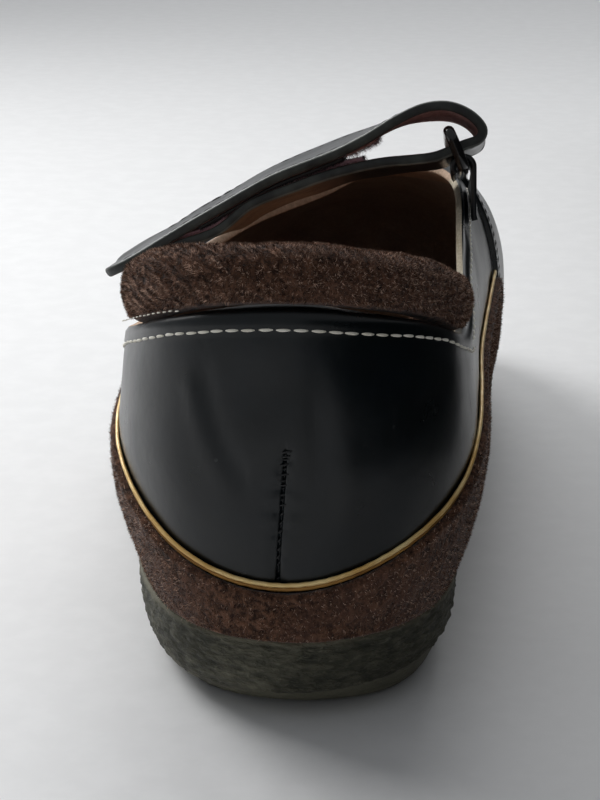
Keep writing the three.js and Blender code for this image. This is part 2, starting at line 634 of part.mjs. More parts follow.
// The ring: a rounded rectangle of wire whose long bars lie along the foot.
const ringPlace = (() => {
  const inner = overFoot(RING_INNER_BAR);
  const lean = v3(Math.cos(RING_LEAN), 0, -Math.sin(RING_LEAN));
  const outer = inner.clone().addScaledVector(lean, RING_SPACING);
  return { inner, outer, lean };
})();
function ringSolid() {
  const sides = 8;
  const halfLong = STRAP_WIDTH / 2 + RING_WIRE / 2 + GAP + 1;
  const halfShort = RING_SPACING / 2;
  const { inner, outer, lean } = ringPlace;
  const centre = inner.clone().add(outer).multiplyScalar(0.5);
  const normal = lean.clone().cross(strapAcross).normalize();
  const path = [];
  for (const [i, [signA, signB]] of [[1, 1], [-1, 1], [-1, -1], [1, -1]].entries())
    for (const turn of range(0, Math.PI / 2, 4)) {
      const angle = turn + (i * Math.PI) / 2;
      path.push([
        signA * (halfShort - RING_CORNER) + RING_CORNER * Math.cos(angle),
        signB * (halfLong - RING_CORNER) + RING_CORNER * Math.sin(angle),
        angle,
      ]);
    }
  const rings = path.map(([a, b, angle]) => {
    const out = lean.clone().multiplyScalar(Math.cos(angle)).addScaledVector(strapAcross, Math.sin(angle));
    return Array.from({ length: sides }, (_, j) => {
      const turn = (2 * Math.PI * (j + 0.5)) / sides;
      return centre.clone().addScaledVector(lean, a).addScaledVector(strapAcross, b)
        .addScaledVector(out, (RING_WIRE / 2) * Math.cos(turn))
        .addScaledVector(normal, (RING_WIRE / 2) * Math.sin(turn));
    });
  });
  return loft(rings, { around: true });
}

// A leather tab sewn down the outside of the inner quarter and folded round the ring's outer bar.
function tabSolid() {
  const hole = RING_WIRE / 2 + GAP * 1.3;
  const rim = hole + TAB_THICKNESS;
  const rings = range(-TAB_WIDTH / 2, TAB_WIDTH / 2, 8).map((side) => {
    const bar = ringPlace.outer.clone().addScaledVector(strapAcross, side);
    const tail = (up, out) => offLast(innerRow(bar.y, up), up, GAP * 1.2 + out);
    const turnPoint = (angle, radius) =>
      v3(bar.x + radius * Math.cos(angle), bar.y, bar.z + radius * Math.sin(angle));
    const run = tail(0.97, 0).sub(bar);
    const reach = Math.hypot(run.x, run.z);
    const first = Math.atan2(-run.z, -run.x) - Math.PI / 2 - Math.asin(hole / reach);
    const turns = range(first, THREE.MathUtils.degToRad(225), 8);
    return [
      ...range(TAB_FOOT, 0.97, 2).map((up) => tail(up, TAB_THICKNESS)),
      ...turns.map((angle) => turnPoint(angle, rim)),
      ...turns.toReversed().map((angle) => turnPoint(angle, hole)),
      ...range(0.97, TAB_FOOT, 2).map((up) => tail(up, 0)),
    ];
  });
  return loft(rings);
}

const black = { color: 0x0b0d12, roughness: 0.32, metalness: 0 };
const suede = { color: 0x3a251c, roughness: 0.95, metalness: 0 };
const mauve = { color: 0x7a4a4c, roughness: 0.9, metalness: 0 };
function piece(name, geometry, finish) {
  const mesh = new THREE.Mesh(geometry, new THREE.MeshStandardMaterial(finish));
  mesh.name = name;
  return mesh;
}

const shoe = new THREE.Group();
shoe.add(
  piece("sole", soleSolid(), { color: 0x4b4a3c, roughness: 0.8, metalness: 0 }),
  piece("footbed", footbedSolid(), { color: 0x8a6a4c, roughness: 0.8, metalness: 0 }),
  piece("upper", upperSolid(), black),
  piece("rand", randSolid(), suede),
  piece("piping", pipingSolid(), { color: 0xb98a2e, roughness: 0.4, metalness: 0 }),
  piece("collar", collarSolid(), suede),
  piece("strap", strapSolid(), black),
  piece("loop_patch", patchSolid(LOOP_PATCH.from, LOOP_PATCH.to), mauve),
  piece("hook_patch", patchSolid(HOOK_PATCH.from, HOOK_PATCH.to), mauve),
  piece("ring", ringSolid(), { color: 0x101010, roughness: 0.3, metalness: 0.8 }),
  piece("ring_tab", tabSolid(), black),
);

export default shoe;
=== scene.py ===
import math
import bmesh
import bpy
import numpy as np
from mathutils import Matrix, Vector


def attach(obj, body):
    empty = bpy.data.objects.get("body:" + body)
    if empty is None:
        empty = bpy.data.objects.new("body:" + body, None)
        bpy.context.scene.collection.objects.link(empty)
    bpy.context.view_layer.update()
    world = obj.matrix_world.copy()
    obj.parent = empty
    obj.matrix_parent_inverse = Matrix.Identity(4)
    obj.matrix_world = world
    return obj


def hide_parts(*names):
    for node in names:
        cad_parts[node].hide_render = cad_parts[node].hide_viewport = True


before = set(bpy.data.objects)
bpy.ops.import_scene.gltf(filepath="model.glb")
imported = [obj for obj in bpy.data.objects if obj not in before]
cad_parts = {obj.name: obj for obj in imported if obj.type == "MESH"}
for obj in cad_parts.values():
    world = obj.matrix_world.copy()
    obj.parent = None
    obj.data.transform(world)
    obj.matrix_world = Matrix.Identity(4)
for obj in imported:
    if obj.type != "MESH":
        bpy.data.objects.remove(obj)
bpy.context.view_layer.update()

mm = 0.001

# Camera: the photograph's place and direction, turned a little so that one shoe fills the frame
camera = {"place": (0.0310, -0.3366, 0.1748), "yaw": 1.3, "pitch": 18.19, "focal": 1067.26,
          "aim": (186, 424), "zoom": 1.7, "frame": (600, 800)}


def makeCamera():
    yaw, pitch = math.radians(camera["yaw"]), math.radians(camera["pitch"])
    forward = Vector((math.sin(yaw) * math.cos(pitch), math.cos(yaw) * math.cos(pitch), -math.sin(pitch)))
    right = Vector((math.cos(yaw), -math.sin(yaw), 0))
    wide, tall = camera["frame"]
    offX, offY = camera["aim"][0] - wide / 2, camera["aim"][1] - tall / 2
    aim = forward * camera["focal"] + right * offX + forward.cross(right) * offY
    data = bpy.data.cameras.new("camera")
    data.sensor_fit = "AUTO"
    data.sensor_width = 36
    data.lens = camera["focal"] * camera["zoom"] / tall * 36
    data.clip_start = 0.01
    made = bpy.data.objects.new("camera", data)
    made.location = camera["place"]
    made.rotation_euler = aim.to_track_quat("-Z", "Y").to_euler()
    bpy.context.scene.collection.objects.link(made)
    bpy.context.scene.camera = made
    bpy.context.scene.view_settings.view_transform = "Standard"


makeCamera()
print("camera placed")


# Shader maths: a socket with the usual operators, and one method for any other node
class Wire:
    def __init__(self, tree, out=None):
        self.tree, self.out = tree, out

    def node(self, kind, settings=None, inputs=None, output=0):
        made = self.tree.nodes.new("ShaderNode" + kind)
        for name, value in (settings or {}).items():
            setattr(made, name, value)
        for name, value in (inputs or {}).items():
            slot = made.inputs[name]
            if isinstance(value, Wire):
                self.tree.links.new(value.out, slot)
            else:
                slot.default_value = value
        return Wire(self.tree, made.outputs[output])

    def math(self, operation, a, b):
        return self.node("Math", {"operation": operation}, {0: a, 1: b})

    def __add__(self, other):
        return self.math("ADD", self, other)

    def __sub__(self, other):
        return self.math("SUBTRACT", self, other)

    def __rsub__(self, other):
        return self.math("SUBTRACT", other, self)

    def __mul__(self, other):
        return self.math("MULTIPLY", self, other)

    __radd__ = __add__
    __rmul__ = __mul__

    def ease(self, low, high):
        return self.node("MapRange", {"interpolation_type": "SMOOTHSTEP"},
                         {"Value": self, "From Min": low, "From Max": high})

    def blend(self, first, second):  # colours, by this value
        return self.node("Mix", {"data_type": "RGBA"}, {0: self, 6: first, 7: second}, 2)

    def scaled(self, x, y, z):  # a vector, stretched
        return self.node("VectorMath", {"operation": "MULTIPLY"}, {0: self, 1: (x, y, z)})

    def noise(self, place, scale, detail=3.0, roughness=0.5, distortion=0.0):
        return self.node("TexNoise", None, {"Vector": place, "Scale": scale, "Detail": detail,
                                            "Roughness": roughness, "Distortion": distortion})

    def cells(self, place, scale, feature="F1"):
        return self.node("TexVoronoi", {"feature": feature}, {"Vector": place, "Scale": scale})

    def place(self):
        return self.node("TexCoord", None, None, 3)

    def mark(self, name):
        return self.node("Attribute", {"attribute_name": name}, None, 2)

    def bump(self, height, distance, strength=1.0, normal=None):
        inputs = {"Height": height, "Distance": distance, "Strength": strength}
        if normal is not None:
            inputs["Normal"] = normal
        return self.node("Bump", None, inputs)


def rgb(red, green, blue):
    # a colour seen on screen, 0 to 255, as light
    parts = [part / 255 for part in (red, green, blue)]
    return tuple(p / 12.92 if p <= 0.04045 else ((p + 0.055) / 1.055) ** 2.4 for p in parts) + (1,)


def material(name, build, **settings):
    made = bpy.data.materials.new(name)
    made.use_nodes = True
    tree = made.node_tree
    shader = tree.nodes["Principled BSDF"]
    for key, value in settings.items():
        shader.inputs[key.replace("_", " ")].default_value = value
    wires = build(Wire(tree))
    for key, value in wires.items():
        tree.links.new(value.out, shader.inputs[key.replace("_", " ")])
    made.diffuse_color = (0.2, 0.2, 0.2, 1)
    return made


def smooth(low, high, x):
    s = np.clip((x - low) / (high - low), 0, 1)
    return s * s * (3 - 2 * s)


def mix(a, b, share):
    return a + (b - a) * share


def unit(v):
    return v / np.maximum(np.linalg.norm(v, axis=-1, keepdims=True), 1e-9)


def roundEnd(share, least=0.0):
    # the height of a quarter circle, over the share of the way in from an end
    return np.sqrt(1 - (1 - np.clip(share, least, 1)) ** 2)


def bellAt(x, centre, width):
    # a soft hump of height one, e to the minus square of the distance in widths
    return np.exp(-(((x - centre) / width) ** 2))


def waves(x, y, count, shortest, longest, seed):
    # a sum of sines with random directions and lengths, from -1 to 1 or so
    draw = np.random.default_rng(seed)
    total = np.zeros(np.broadcast(x, y).shape)
    for _ in range(count):
        turn, phase = draw.uniform(0, 2 * math.pi, 2)
        length = math.exp(draw.uniform(math.log(shortest), math.log(longest)))
        total = total + np.sin((x * math.cos(turn) + y * math.sin(turn)) * 2 * math.pi / length + phase)
    return total / math.sqrt(count)


# The shoe's named sizes, as in its source: lengths in millimetres, the ends of vamp and collar as rows
# of the last, the strap's place as a share of the length and its tilt in radians
shoe = {"length": 262, "ballWidth": 96, "heelWidth": 74.5, "behind": 34, "back": 81.5, "instep": 80,
        "heelSole": 18.7, "ballSole": 15, "toeSpring": 9, "heelRocker": 4, "archRise": 6, "crease": 0.9,
        "wall": 2.6, "padding": 5.6, "vampStep": 1.2, "gap": 0.3, "vamp": (6.35, 15.7),
        "collar": (3.05, 19.65), "strapPlace": 0.42, "strapWidth": 27, "strapThick": 2.3,
        "strapTilt": 0.28}
# The last: in each list a number for each rib, from the heel's back by the inner side to the toe and back
last = {
    "side": (0, .44, .722, .79, .743, .69, .725, .79, .8, .715, .485, .075, -.37, -.72, -.925, -.995,
             -.985, -.94, -.885, -.83, -.755, -.48),
    "along": (.016, .036, .092, .176, .282, .397, .511, .634, .742, .847, .937, .972, .943, .868, .766,
              .656, .55, .44, .33, .218, .124, .044),
    "topSide": (0, .455, .775, .9, .87, .79, .69, .56, .44, .335, .23, .125, .02, -.1, -.27, -.455,
                -.635, -.79, -.885, -.945, -.9, -.545),
    "topAlong": (.014, .035, .094, .176, .267, .365, .468, .552, .597, .62, .631, .634, .63, .617, .592,
                 .552, .492, .413, .32, .232, .135, .047),
    "top": (1.02, .994, .918, .832, .915, .985, 1.005, 1, .985, .97, .957, .938, .912, .88, .853, .83,
            .805, .79, .77, .785, .857, .971),
    "lowOut": (.04, .06, .08, .085, .1, .11, .085, .07, .07, .07, .05, .05, .05, .055, .06, .07, .08,
               .08, .085, .09, .085, .06),
    "lowUp": (.36, .36, .36, .36, .36, .36, .37, .41, .43, .42, .42, .43, .42, .4, .39, .38, .36, .35,
              .35, .36, .36, .36),
    "reach": (.3, .3, .3, .3, .3, .34, .5, .6, .6, .55, .52, .5, .52, .54, .56, .52, .44, .34, .3, .3,
              .3, .3),
    "highOut": (.022, .038, .05, .05, .055, .075, .09, .1, .1, .05, .03, .02, .02, .03, .045, .055, .06,
                .055, .05, .05, .05, .038),
    "highDrop": (.36, .36, .36, .36, .36, .36, .26, .2, .19, .2, .21, .22, .21, .2, .2, .22, .28, .34,
                 .36, .36, .36, .36),
    "margin": (.09, .09, .16, .2, .19, .17, .16, .16, .18, .18, .18, .18, .18, .18, .17, .16, .14, .17,
               .22, .28, .25, .12),
    "inset": (.8, .72, .56, .46, .44, .42, .4, .35, .35, .4, .5, .55, .5, .42, .4, .38, .38, .4, .42,
              .46, .56, .7),
    "creaseUp": (.27, .34, .47, .56, .6, .6, .5, .36, .3, .28, .28, .28, .28, .26, .24, .22, .2, .2, .2,
                 .19, .2, .23),
    "randTop": (.357, .41, .51, .612, .64, .645, .655, .65, .62, .59, .57, .56, .57, .59, .62, .64, .64,
                .64, .634, .615, .535, .41),
}
stations = len(last["side"])


def roundSpline(values):
    # a smooth closed curve through the rows: each stretch is a cubic whose bends b solve
    # b before + 4 b + b after = 6 times the second difference of the values
    v = np.asarray(values, float)
    n = len(v)
    system = 4 * np.eye(n) + np.roll(np.eye(n), 1, 0) + np.roll(np.eye(n), -1, 0)
    bend = np.linalg.solve(system, 6 * (np.roll(v, -1) - 2 * v + np.roll(v, 1)))

    def at(row):
        r = np.mod(row, n)
        i = np.minimum(np.floor(r).astype(int), n - 1)
        j = (i + 1) % n
        b = r - i
        a = 1 - b
        return a * v[i] + b * v[j] + ((a ** 3 - a) * bend[i] + (b ** 3 - b) * bend[j]) / 6
    return at


column = {name: roundSpline(values) for name, values in last.items()}


def alongAt(share):
    return share * shoe["length"] - shoe["behind"]


def foreShare(y):
    return smooth(0.2, 0.6, (y + shoe["behind"]) / shoe["length"])


def halfWidthAt(y):
    return mix(shoe["heelWidth"], shoe["ballWidth"], foreShare(y)) / 2


def toeLift(y):
    s = np.maximum(0, (y - alongAt(0.62)) / (alongAt(0.985) - alongAt(0.62)))
    return shoe["toeSpring"] * s * s


def soleTop(y):
    return mix(shoe["heelSole"], shoe["ballSole"], foreShare(y)) + toeLift(y)


def treadHeight(x, y):
    # flat under heel and ball, rising at the very back, in the arch and to the toe
    back = np.maximum(0, (alongAt(0.085) - y) / (alongAt(0.085) - alongAt(0.02)))
    s = np.clip((y - alongAt(0.26)) / (alongAt(0.5) - alongAt(0.26)), 0, 1)
    inner = mix(0.35, 1, smooth(-shoe["ballWidth"] / 3, shoe["ballWidth"] / 4, x))
    arch = shoe["archRise"] * np.sin(math.pi * s) ** 2 * inner
    return shoe["heelRocker"] * back ** 1.6 + arch + toeLift(y)


def makeHandles():
    # the four handles of each rib: foot, two that shape the wall, and top
    c = {name: np.asarray(values, float) for name, values in last.items()}
    footY = alongAt(c["along"])
    footX = c["side"] * halfWidthAt(footY)
    edge = [roundSpline(footX), roundSpline(footY)]
    rows = np.arange(stations)
    run = np.stack([part(rows + 0.02) - part(rows - 0.02) for part in edge], -1)
    out = unit(np.stack([run[:, 1], -run[:, 0]], -1))
    foot = np.stack([footX, footY, soleTop(footY) + shoe["gap"]], -1)
    topY = alongAt(c["topAlong"])
    height = mix(shoe["back"], shoe["instep"], foreShare(topY)) * c["top"]
    top = np.stack([c["topSide"] * halfWidthAt(topY), topY, height], -1)
    rise = top[:, 2] - foot[:, 2]
    low, high = foot.copy(), top.copy()
    low[:, :2] += out * (c["lowOut"] * shoe["ballWidth"])[:, None]
    low[:, 2] += c["lowUp"] * rise
    high[:, :2] += out * (c["highOut"] * shoe["ballWidth"])[:, None]
    high[:, :2] += c["reach"][:, None] * (foot - top)[:, :2]
    high[:, 2] -= c["highDrop"] * rise
    return edge, [[roundSpline(h[:, axis]) for axis in range(3)] for h in (foot, low, high, top)]


edgeCurve, handleCurves = makeHandles()


def feather(row):
    return np.stack([edgeCurve[0](row), edgeCurve[1](row)], -1)


def outward(row):
    run = feather(row + 0.02) - feather(row - 0.02)
    return unit(np.stack([run[..., 1], -run[..., 0]], -1))


def lastPoint(row, up):
    # row goes round the shoe, up from the sole (0) to the topline (1), on each rib's Bezier curve
    row, up = np.broadcast_arrays(np.asarray(row, float), np.asarray(up, float))
    down = 1 - up
    weights = (down ** 3, 3 * down ** 2 * up, 3 * down * up ** 2, up ** 3)
    return np.stack([sum(w * h[axis](row) for w, h in zip(weights, handleCurves)) for axis in range(3)], -1)


def lastNormal(row, up):
    row, up = np.broadcast_arrays(np.asarray(row, float), np.asarray(up, float))
    step = 0.01
    across = lastPoint(row + step, up) - lastPoint(row - step, up)
    rise = lastPoint(row, np.minimum(1, up + step)) - lastPoint(row, np.maximum(0, up - step))
    return unit(np.cross(across, rise))


def offLast(row, up, out):
    p = lastPoint(row, up) + lastNormal(row, up) * np.asarray(out)[..., None]
    p[..., 2] = np.maximum(p[..., 2], soleTop(p[..., 1]) + shoe["gap"])
    return p


def upAtHeight(row, height):
    row, height = np.broadcast_arrays(np.asarray(row, float), np.asarray(height, float))
    low, high = np.zeros(row.shape), np.ones(row.shape)
    for _ in range(24):
        middle = (low + high) / 2
        under = lastPoint(row, middle)[..., 2] < height
        low, high = np.where(under, middle, low), np.where(under, high, middle)
    return (low + high) / 2


def rowAtAlong(along, up, start, end):
    along = np.asarray(along, float)
    if lastPoint(end, up)[1] < lastPoint(start, up)[1]:
        start, end = end, start
    low, high = np.full(along.shape, float(start)), np.full(along.shape, float(end))
    for _ in range(24):
        middle = (low + high) / 2
        under = lastPoint(middle, up)[..., 1] < along
        low, high = np.where(under, middle, low), np.where(under, high, middle)
    return (low + high) / 2


def outerRow(along, up):
    return rowAtAlong(along, up, shoe["vamp"][1] - 1.5, stations - 2)


def innerRow(along, up):
    return rowAtAlong(along, up, 3, shoe["vamp"][0] + 1)


def addMesh(name, points, faces, finishes, slots=None, marks=None, shade=True):
    # points in millimetres; faces as rows of three or four corners; marks are numbers per point
    mesh = bpy.data.meshes.new(name)
    points = np.asarray(points, float) * mm
    a, b, c = points[faces[:, 0]], points[faces[:, 1]], points[faces[:, 2]]
    volume = np.einsum("ij,ij->", a, np.cross(b, c))
    if faces.shape[1] == 4:
        volume += np.einsum("ij,ij->", a, np.cross(c, points[faces[:, 3]]))
    if volume < 0:
        faces = faces[:, ::-1]
    count, size = faces.shape
    mesh.vertices.add(len(points))
    mesh.vertices.foreach_set("co", points.astype(np.float32).ravel())
    mesh.loops.add(count * size)
    mesh.loops.foreach_set("vertex_index", faces.astype(np.int32).ravel())
    mesh.polygons.add(count)
    mesh.polygons.foreach_set("loop_start", (np.arange(count) * size).astype(np.int32))
    mesh.polygons.foreach_set("loop_total", np.full(count, size, np.int32))
    for finish in finishes:
        mesh.materials.append(finish)
    if slots is not None:
        mesh.polygons.foreach_set("material_index", np.asarray(slots, np.int32))
    mesh.polygons.foreach_set("use_smooth", np.full(count, shade))
    mesh.update(calc_edges=True)
    for key, values in (marks or {}).items():
        mark = mesh.attributes.new(key, "FLOAT", "POINT")
        mark.data.foreach_set("value", np.asarray(values, np.float32).ravel())
    mesh.validate()
    made = bpy.data.objects.new(name, mesh)
    bpy.context.scene.collection.objects.link(made)
    return made


def gridFaces(rows, size, around=False, closed=True):
    # the four-cornered faces of a grid of points; around joins the last row to the first, closed
    # joins the last point of a row to its first
    i = np.arange(rows if around else rows - 1)[:, None]
    j = np.arange(size if closed else size - 1)[None, :]
    after, beside = (i + 1) % rows, (j + 1) % size
    parts = np.broadcast_arrays(i * size + j, after * size + j, after * size + beside, i * size + beside)
    return np.stack([p.ravel() for p in parts], -1)


def capFaces(size, first, flip):
    # closes an end ring between its two halves
    j = np.arange(size // 2 - 1)
    a, b, c, d = first + j, first + j + 1, first + size - 2 - j, first + size - 1 - j
    quad = np.stack([a, b, c, d], -1)
    return quad[:, ::-1] if flip else quad


def solidLoft(rings, around=False):
    rows, size = rings.shape[:2]
    faces = gridFaces(rows, size, around)
    if not around:
        faces = np.concatenate([faces, capFaces(size, 0, False), capFaces(size, (rows - 1) * size, True)])
    return rings.reshape(-1, 3), faces


def ride(piece, node=None):
    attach(piece, "root")
    if node:
        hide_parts(node)
    return piece


def alongLine(line, gone, s):
    return np.stack([np.interp(s, gone, line[:, k]) for k in range(3)], -1)


def lengthsOf(line):
    return np.concatenate([[0], np.cumsum(np.linalg.norm(np.diff(line, axis=0), axis=1))])


def copies(points, faces):
    # the same faces for every copy of a small closed body; points are copies by points
    count, size = points.shape[:2]
    first = (np.arange(count) * size)[:, None, None]
    return points.reshape(-1, 3), (faces[None] + first).reshape(-1, faces.shape[1])


def capsules(centre, normal, radius, sides=6):
    # a closed bead along each row of centres, round in section
    run = unit(centre[:, -1] - centre[:, 0])[:, None]
    side = unit(np.cross(run, normal))
    turn = 2 * math.pi * (np.arange(sides) + 0.5) / sides
    cosine, sine = np.cos(turn)[:, None], np.sin(turn)[:, None]
    ring = side[:, :, None] * cosine + np.cross(side, run)[:, :, None] * sine
    ring = centre[:, :, None] + radius[:, None, None] * ring
    steps = centre.shape[1]
    faces = np.concatenate([gridFaces(steps, sides), capFaces(sides, 0, False),
                            capFaces(sides, (steps - 1) * sides, True)])
    return copies(ring.reshape(len(centre), -1, 3), faces)


# Stitches: sizes in millimetres; lift is how far the middle rises, sink how far the ends dip in
stitches = {
    "heel": {"pitch": 3.15, "length": 2.6, "width": 0.62, "look": "thread", "lift": 0.26, "sink": 0.08},
    "quarter": {"pitch": 2.5, "length": 2.0, "width": 0.6, "look": "thread", "lift": 0.22, "sink": 0.08},
    "throat": {"pitch": 2.6, "length": 2.1, "width": 0.6, "look": "thread", "lift": 0.22, "sink": 0.08},
    "vamp": {"pitch": 2.4, "length": 1.8, "width": 0.4, "look": "blackThread", "lift": 0.05, "sink": 0.1},
    "lower": {"pitch": 1.9, "length": 1.3, "width": 0.5, "look": "blackThread", "lift": 0.15, "sink": 0.05,
              "across": 0.9},
    "lace": {"pitch": 1.1, "length": 0.7, "width": 0.4, "look": "blackThread", "lift": 0.3, "sink": 0.05,
             "across": 2.4, "wander": 0.12},
    "dots": {"pitch": 2.0, "length": 1.1, "width": 0.3, "look": "thread", "lift": 0.12, "sink": -0.05},
    "strap": {"pitch": 3.2, "length": 2.6, "width": 0.45, "look": "blackThread", "lift": 0.03, "sink": 0.13},
}


def sewn(name, line, normals, pitch, length, width, look, lift, sink, across=0.0, wander=0.04):
    # a row of stitches along a line: each one rises in the middle and dips in at its ends
    gone = lengthsOf(line)
    draw = np.random.default_rng(len(name) * 7 + len(line))
    starts = np.arange(pitch * 0.4, gone[-1] - length, pitch)
    starts = starts + draw.normal(0, wander * pitch, len(starts))
    t = np.linspace(0, 1, 5)
    s = starts[:, None] + length * t[None, :]
    centre = alongLine(line, gone, s)
    normal = unit(alongLine(normals, gone, s))
    run = unit(centre[:, -1] - centre[:, 0])[:, None]
    side = np.cross(run, normal)
    arch = np.sin(math.pi * t)
    centre = centre + normal * (lift * arch - sink)[None, :, None]
    centre = centre + side * (across * (t - 0.5))[None, :, None]
    centre = centre + side * draw.normal(0, wander, (len(starts), 1, 1))
    radius = width / 2 * np.array([0.45, 0.9, 1, 0.9, 0.45])
    points, faces = capsules(centre, normal, radius)
    return ride(addMesh(name, points, faces, [finish[look]]))


# Hairs: length and radius in millimetres, lean in radians; flow is the way they lie, curl how far it turns
hairs = {
    "rand": {"count": 46000, "length": 0.7, "radius": 0.065, "lean": 0.8, "curl": 2.0, "look": "nap",
             "seed": 31},
    "collar": {"count": 48000, "length": 0.75, "radius": 0.065, "lean": 0.75, "curl": 2.2, "look": "nap",
               "seed": 51},
    "pile": {"count": 15000, "length": 1.15, "radius": 0.06, "lean": 0.7, "curl": 1.2, "look": "pileHair",
             "seed": 71, "flow": (0, 0, 1)},
    "hooks": {"count": 9000, "length": 0.7, "radius": 0.06, "lean": 0.5, "curl": 1.0, "look": "hookHair",
              "seed": 81, "flow": (0, 0, 1)},
    "fray": {"count": 1400, "length": 1.5, "radius": 0.05, "lean": 0.6, "curl": 2.0, "look": "pileHair",
             "seed": 91, "flow": (1, 0, 0.2)},
}


def napOn(name, piece, keep, count, length, radius, lean, curl, look, seed, flow=(0, 0, -1)):
    # short hairs as slim three-sided spikes, drawn over the faces by their area; neighbours lie alike
    mesh = piece.data
    mesh.calc_loop_triangles()
    corners = np.zeros(len(mesh.loop_triangles) * 3, np.int32)
    mesh.loop_triangles.foreach_get("vertices", corners)
    corners = corners.reshape(-1, 3)
    places = np.zeros(len(mesh.vertices) * 3, np.float32)
    mesh.vertices.foreach_get("co", places)
    places = places.reshape(-1, 3).astype(float) / mm
    a, b, c = places[corners[:, 0]], places[corners[:, 1]], places[corners[:, 2]]
    cross = np.cross(b - a, c - a)
    area = np.linalg.norm(cross, axis=1)
    if keep is not None:
        area = area * keep((a + b + c) / 3, unit(cross))
    draw = np.random.default_rng(seed)
    pick = draw.choice(len(area), count, p=area / area.sum())
    u, v = draw.uniform(0, 1, (2, count))
    u, v = np.where(u + v > 1, 1 - u, u), np.where(u + v > 1, 1 - v, v)
    foot = a[pick] + (b - a)[pick] * u[:, None] + (c - a)[pick] * v[:, None]
    normal = unit(cross[pick])
    turn = curl * 3 * waves(foot[:, 0] + foot[:, 1] * 0.7, foot[:, 2] * 1.3, 18, 1.6, 9, seed + 1)
    turn = turn + draw.normal(0, 0.35, count)
    flow = np.asarray(flow, float)
    down = flow - normal * (normal @ flow)[:, None]
    down = unit(down + 1e-3)
    side = np.cross(normal, down)
    lay = down * np.cos(turn)[:, None] + side * np.sin(turn)[:, None]
    tilt = lean + draw.normal(0, 0.16, count)
    aim = normal * np.cos(tilt)[:, None] + lay * np.sin(tilt)[:, None]
    long = length * draw.uniform(0.6, 1.25, count)
    tuft = waves(foot[:, 0] * 1.1 + foot[:, 1], foot[:, 2] * 1.2 - foot[:, 1] * 0.6, 26, 0.9, 3.2, seed + 2)
    tone = np.clip(0.44 + 0.34 * tuft + draw.normal(0, 0.2, count), 0, 1)
    across = unit(np.cross(aim, normal + 0.01))
    behind = np.cross(aim, across)
    wide = radius * draw.uniform(0.7, 1.3, count)[:, None]
    base = foot - normal * 0.12
    points = np.stack([base + across * wide, base - across * wide * 0.5 + behind * wide * 0.87,
                       base - across * wide * 0.5 - behind * wide * 0.87, foot + aim * long[:, None]], 1)
    faces = np.array([[0, 2, 1], [0, 1, 3], [1, 2, 3], [2, 0, 3]])
    points, faces = copies(points, faces)
    made = addMesh(name, points, faces, [finish[look]], marks={"tone": np.repeat(tone, 4)}, shade=False)
    return ride(made)


# Materials
def leatherNodes(deep, worn, sheen=0.24):
    def build(w):
        p = w.place()
        pore = w.cells(p, 2600, "DISTANCE_TO_EDGE")
        grain = w.noise(p, 900, 4, 0.6)
        soft = w.noise(p, 95, 3, 0.55)
        broad = w.noise(p, 30, 2, 0.5)
        scratch = w.noise(p.scaled(1, 1, 0.16), 420, 3, 0.7).ease(0.62, 0.7)
        speck = w.cells(p, 260, "F1").ease(0.13, 0.07) * w.noise(p, 70, 2).ease(0.58, 0.66)
        colour = soft.ease(0.35, 0.7).blend(deep, worn)
        colour = (speck * 0.35).blend(colour, rgb(150, 150, 150))
        rough = sheen + soft * 0.1 + scratch * 0.05 + speck * 0.3
        height = pore.ease(0, 0.12) * 0.15 + grain * 0.6 + scratch * -0.25
        fine = w.bump(height, 0.00004, 0.3)
        normal = w.bump(soft * 0.5 + broad * 1.4, 0.0014, 0.22, fine)
        return {"Base_Color": colour, "Roughness": rough, "Normal": normal}
    return build


def suedeNodes(dark, light, pinkish, tuftDepth=0.0007):
    def build(w):
        p = w.place()
        nap = w.noise(p.scaled(1, 1, 0.75), 1500, 4, 0.75)
        tuft = w.noise(p.scaled(1, 1, 0.8), 520, 3, 0.65, 0.6)
        patch = w.noise(p, 75, 3, 0.6)
        colour = (nap * 0.55 + tuft * 0.6).ease(0.42, 0.8).blend(dark, light)
        colour = (patch.ease(0.45, 0.75) * 0.5).blend(colour, pinkish)
        return {"Base_Color": colour, "Normal": w.bump(nap * 0.5 + tuft, tuftDepth, 0.75)}
    return build


def napNodes(dark, middle, light):
    # each hair's own tone, with slow patches over the piece
    def build(w):
        patch = w.noise(w.place(), 70, 3, 0.6)
        tone = w.mark("tone") + patch * 0.5 - 0.25
        colour = tone.ease(0.05, 0.6).blend(dark, middle)
        return {"Base_Color": tone.ease(0.55, 1.0).blend(colour, light)}
    return build


def foamNodes(w):
    p = w.place()
    pebble = w.cells(p.scaled(0.75, 0.75, 1.5), 520, "SMOOTH_F1")
    small = w.cells(p.scaled(0.8, 0.8, 1.2), 1500, "F1")
    patch = w.noise(p, 60, 4, 0.6)
    smear = w.noise(p, 340, 3, 0.6)
    rough = w.mark("rough")
    crinkle = w.noise(p.scaled(0.6, 0.6, 1.6), 640, 4, 0.65, 1.2)
    height = (pebble.ease(0.1, 0.8) * -1 + crinkle * 1.2 + small * -0.3) * (rough * 0.85 + 0.15)
    # painted shade: the hollows between the pebbles are darker; patch and smear add a random tone
    shade = pebble * 0.7 * rough + patch * 0.45 + smear * 0.25
    colour = shade.ease(0.3, 1.0).blend(rgb(108, 105, 88), rgb(46, 46, 36))
    # painted highlight: the crests of the wrinkles are lighter
    colour = (crinkle.ease(0.5, 0.68) * (rough * 0.35 + 0.15)).blend(colour, rgb(146, 143, 122))
    # painted shadow: the pebbled band of the side, under the rand's overhang, is darker, broken into patches
    # by noise
    colour = (rough * (patch * 0.5 + 0.5)).ease(0.6, 1.0).blend(colour, rgb(40, 42, 32))
    colour = (patch.ease(0.5, 0.75) * 0.6).blend(colour, rgb(70, 68, 54))
    # painted shadow: the line mark darkens the crease groove
    colour = w.mark("line").blend(colour, rgb(26, 26, 22))
    return {"Base_Color": colour, "Roughness": 0.5 + patch * 0.3, "Normal": w.bump(height, 0.0011, 0.9)}


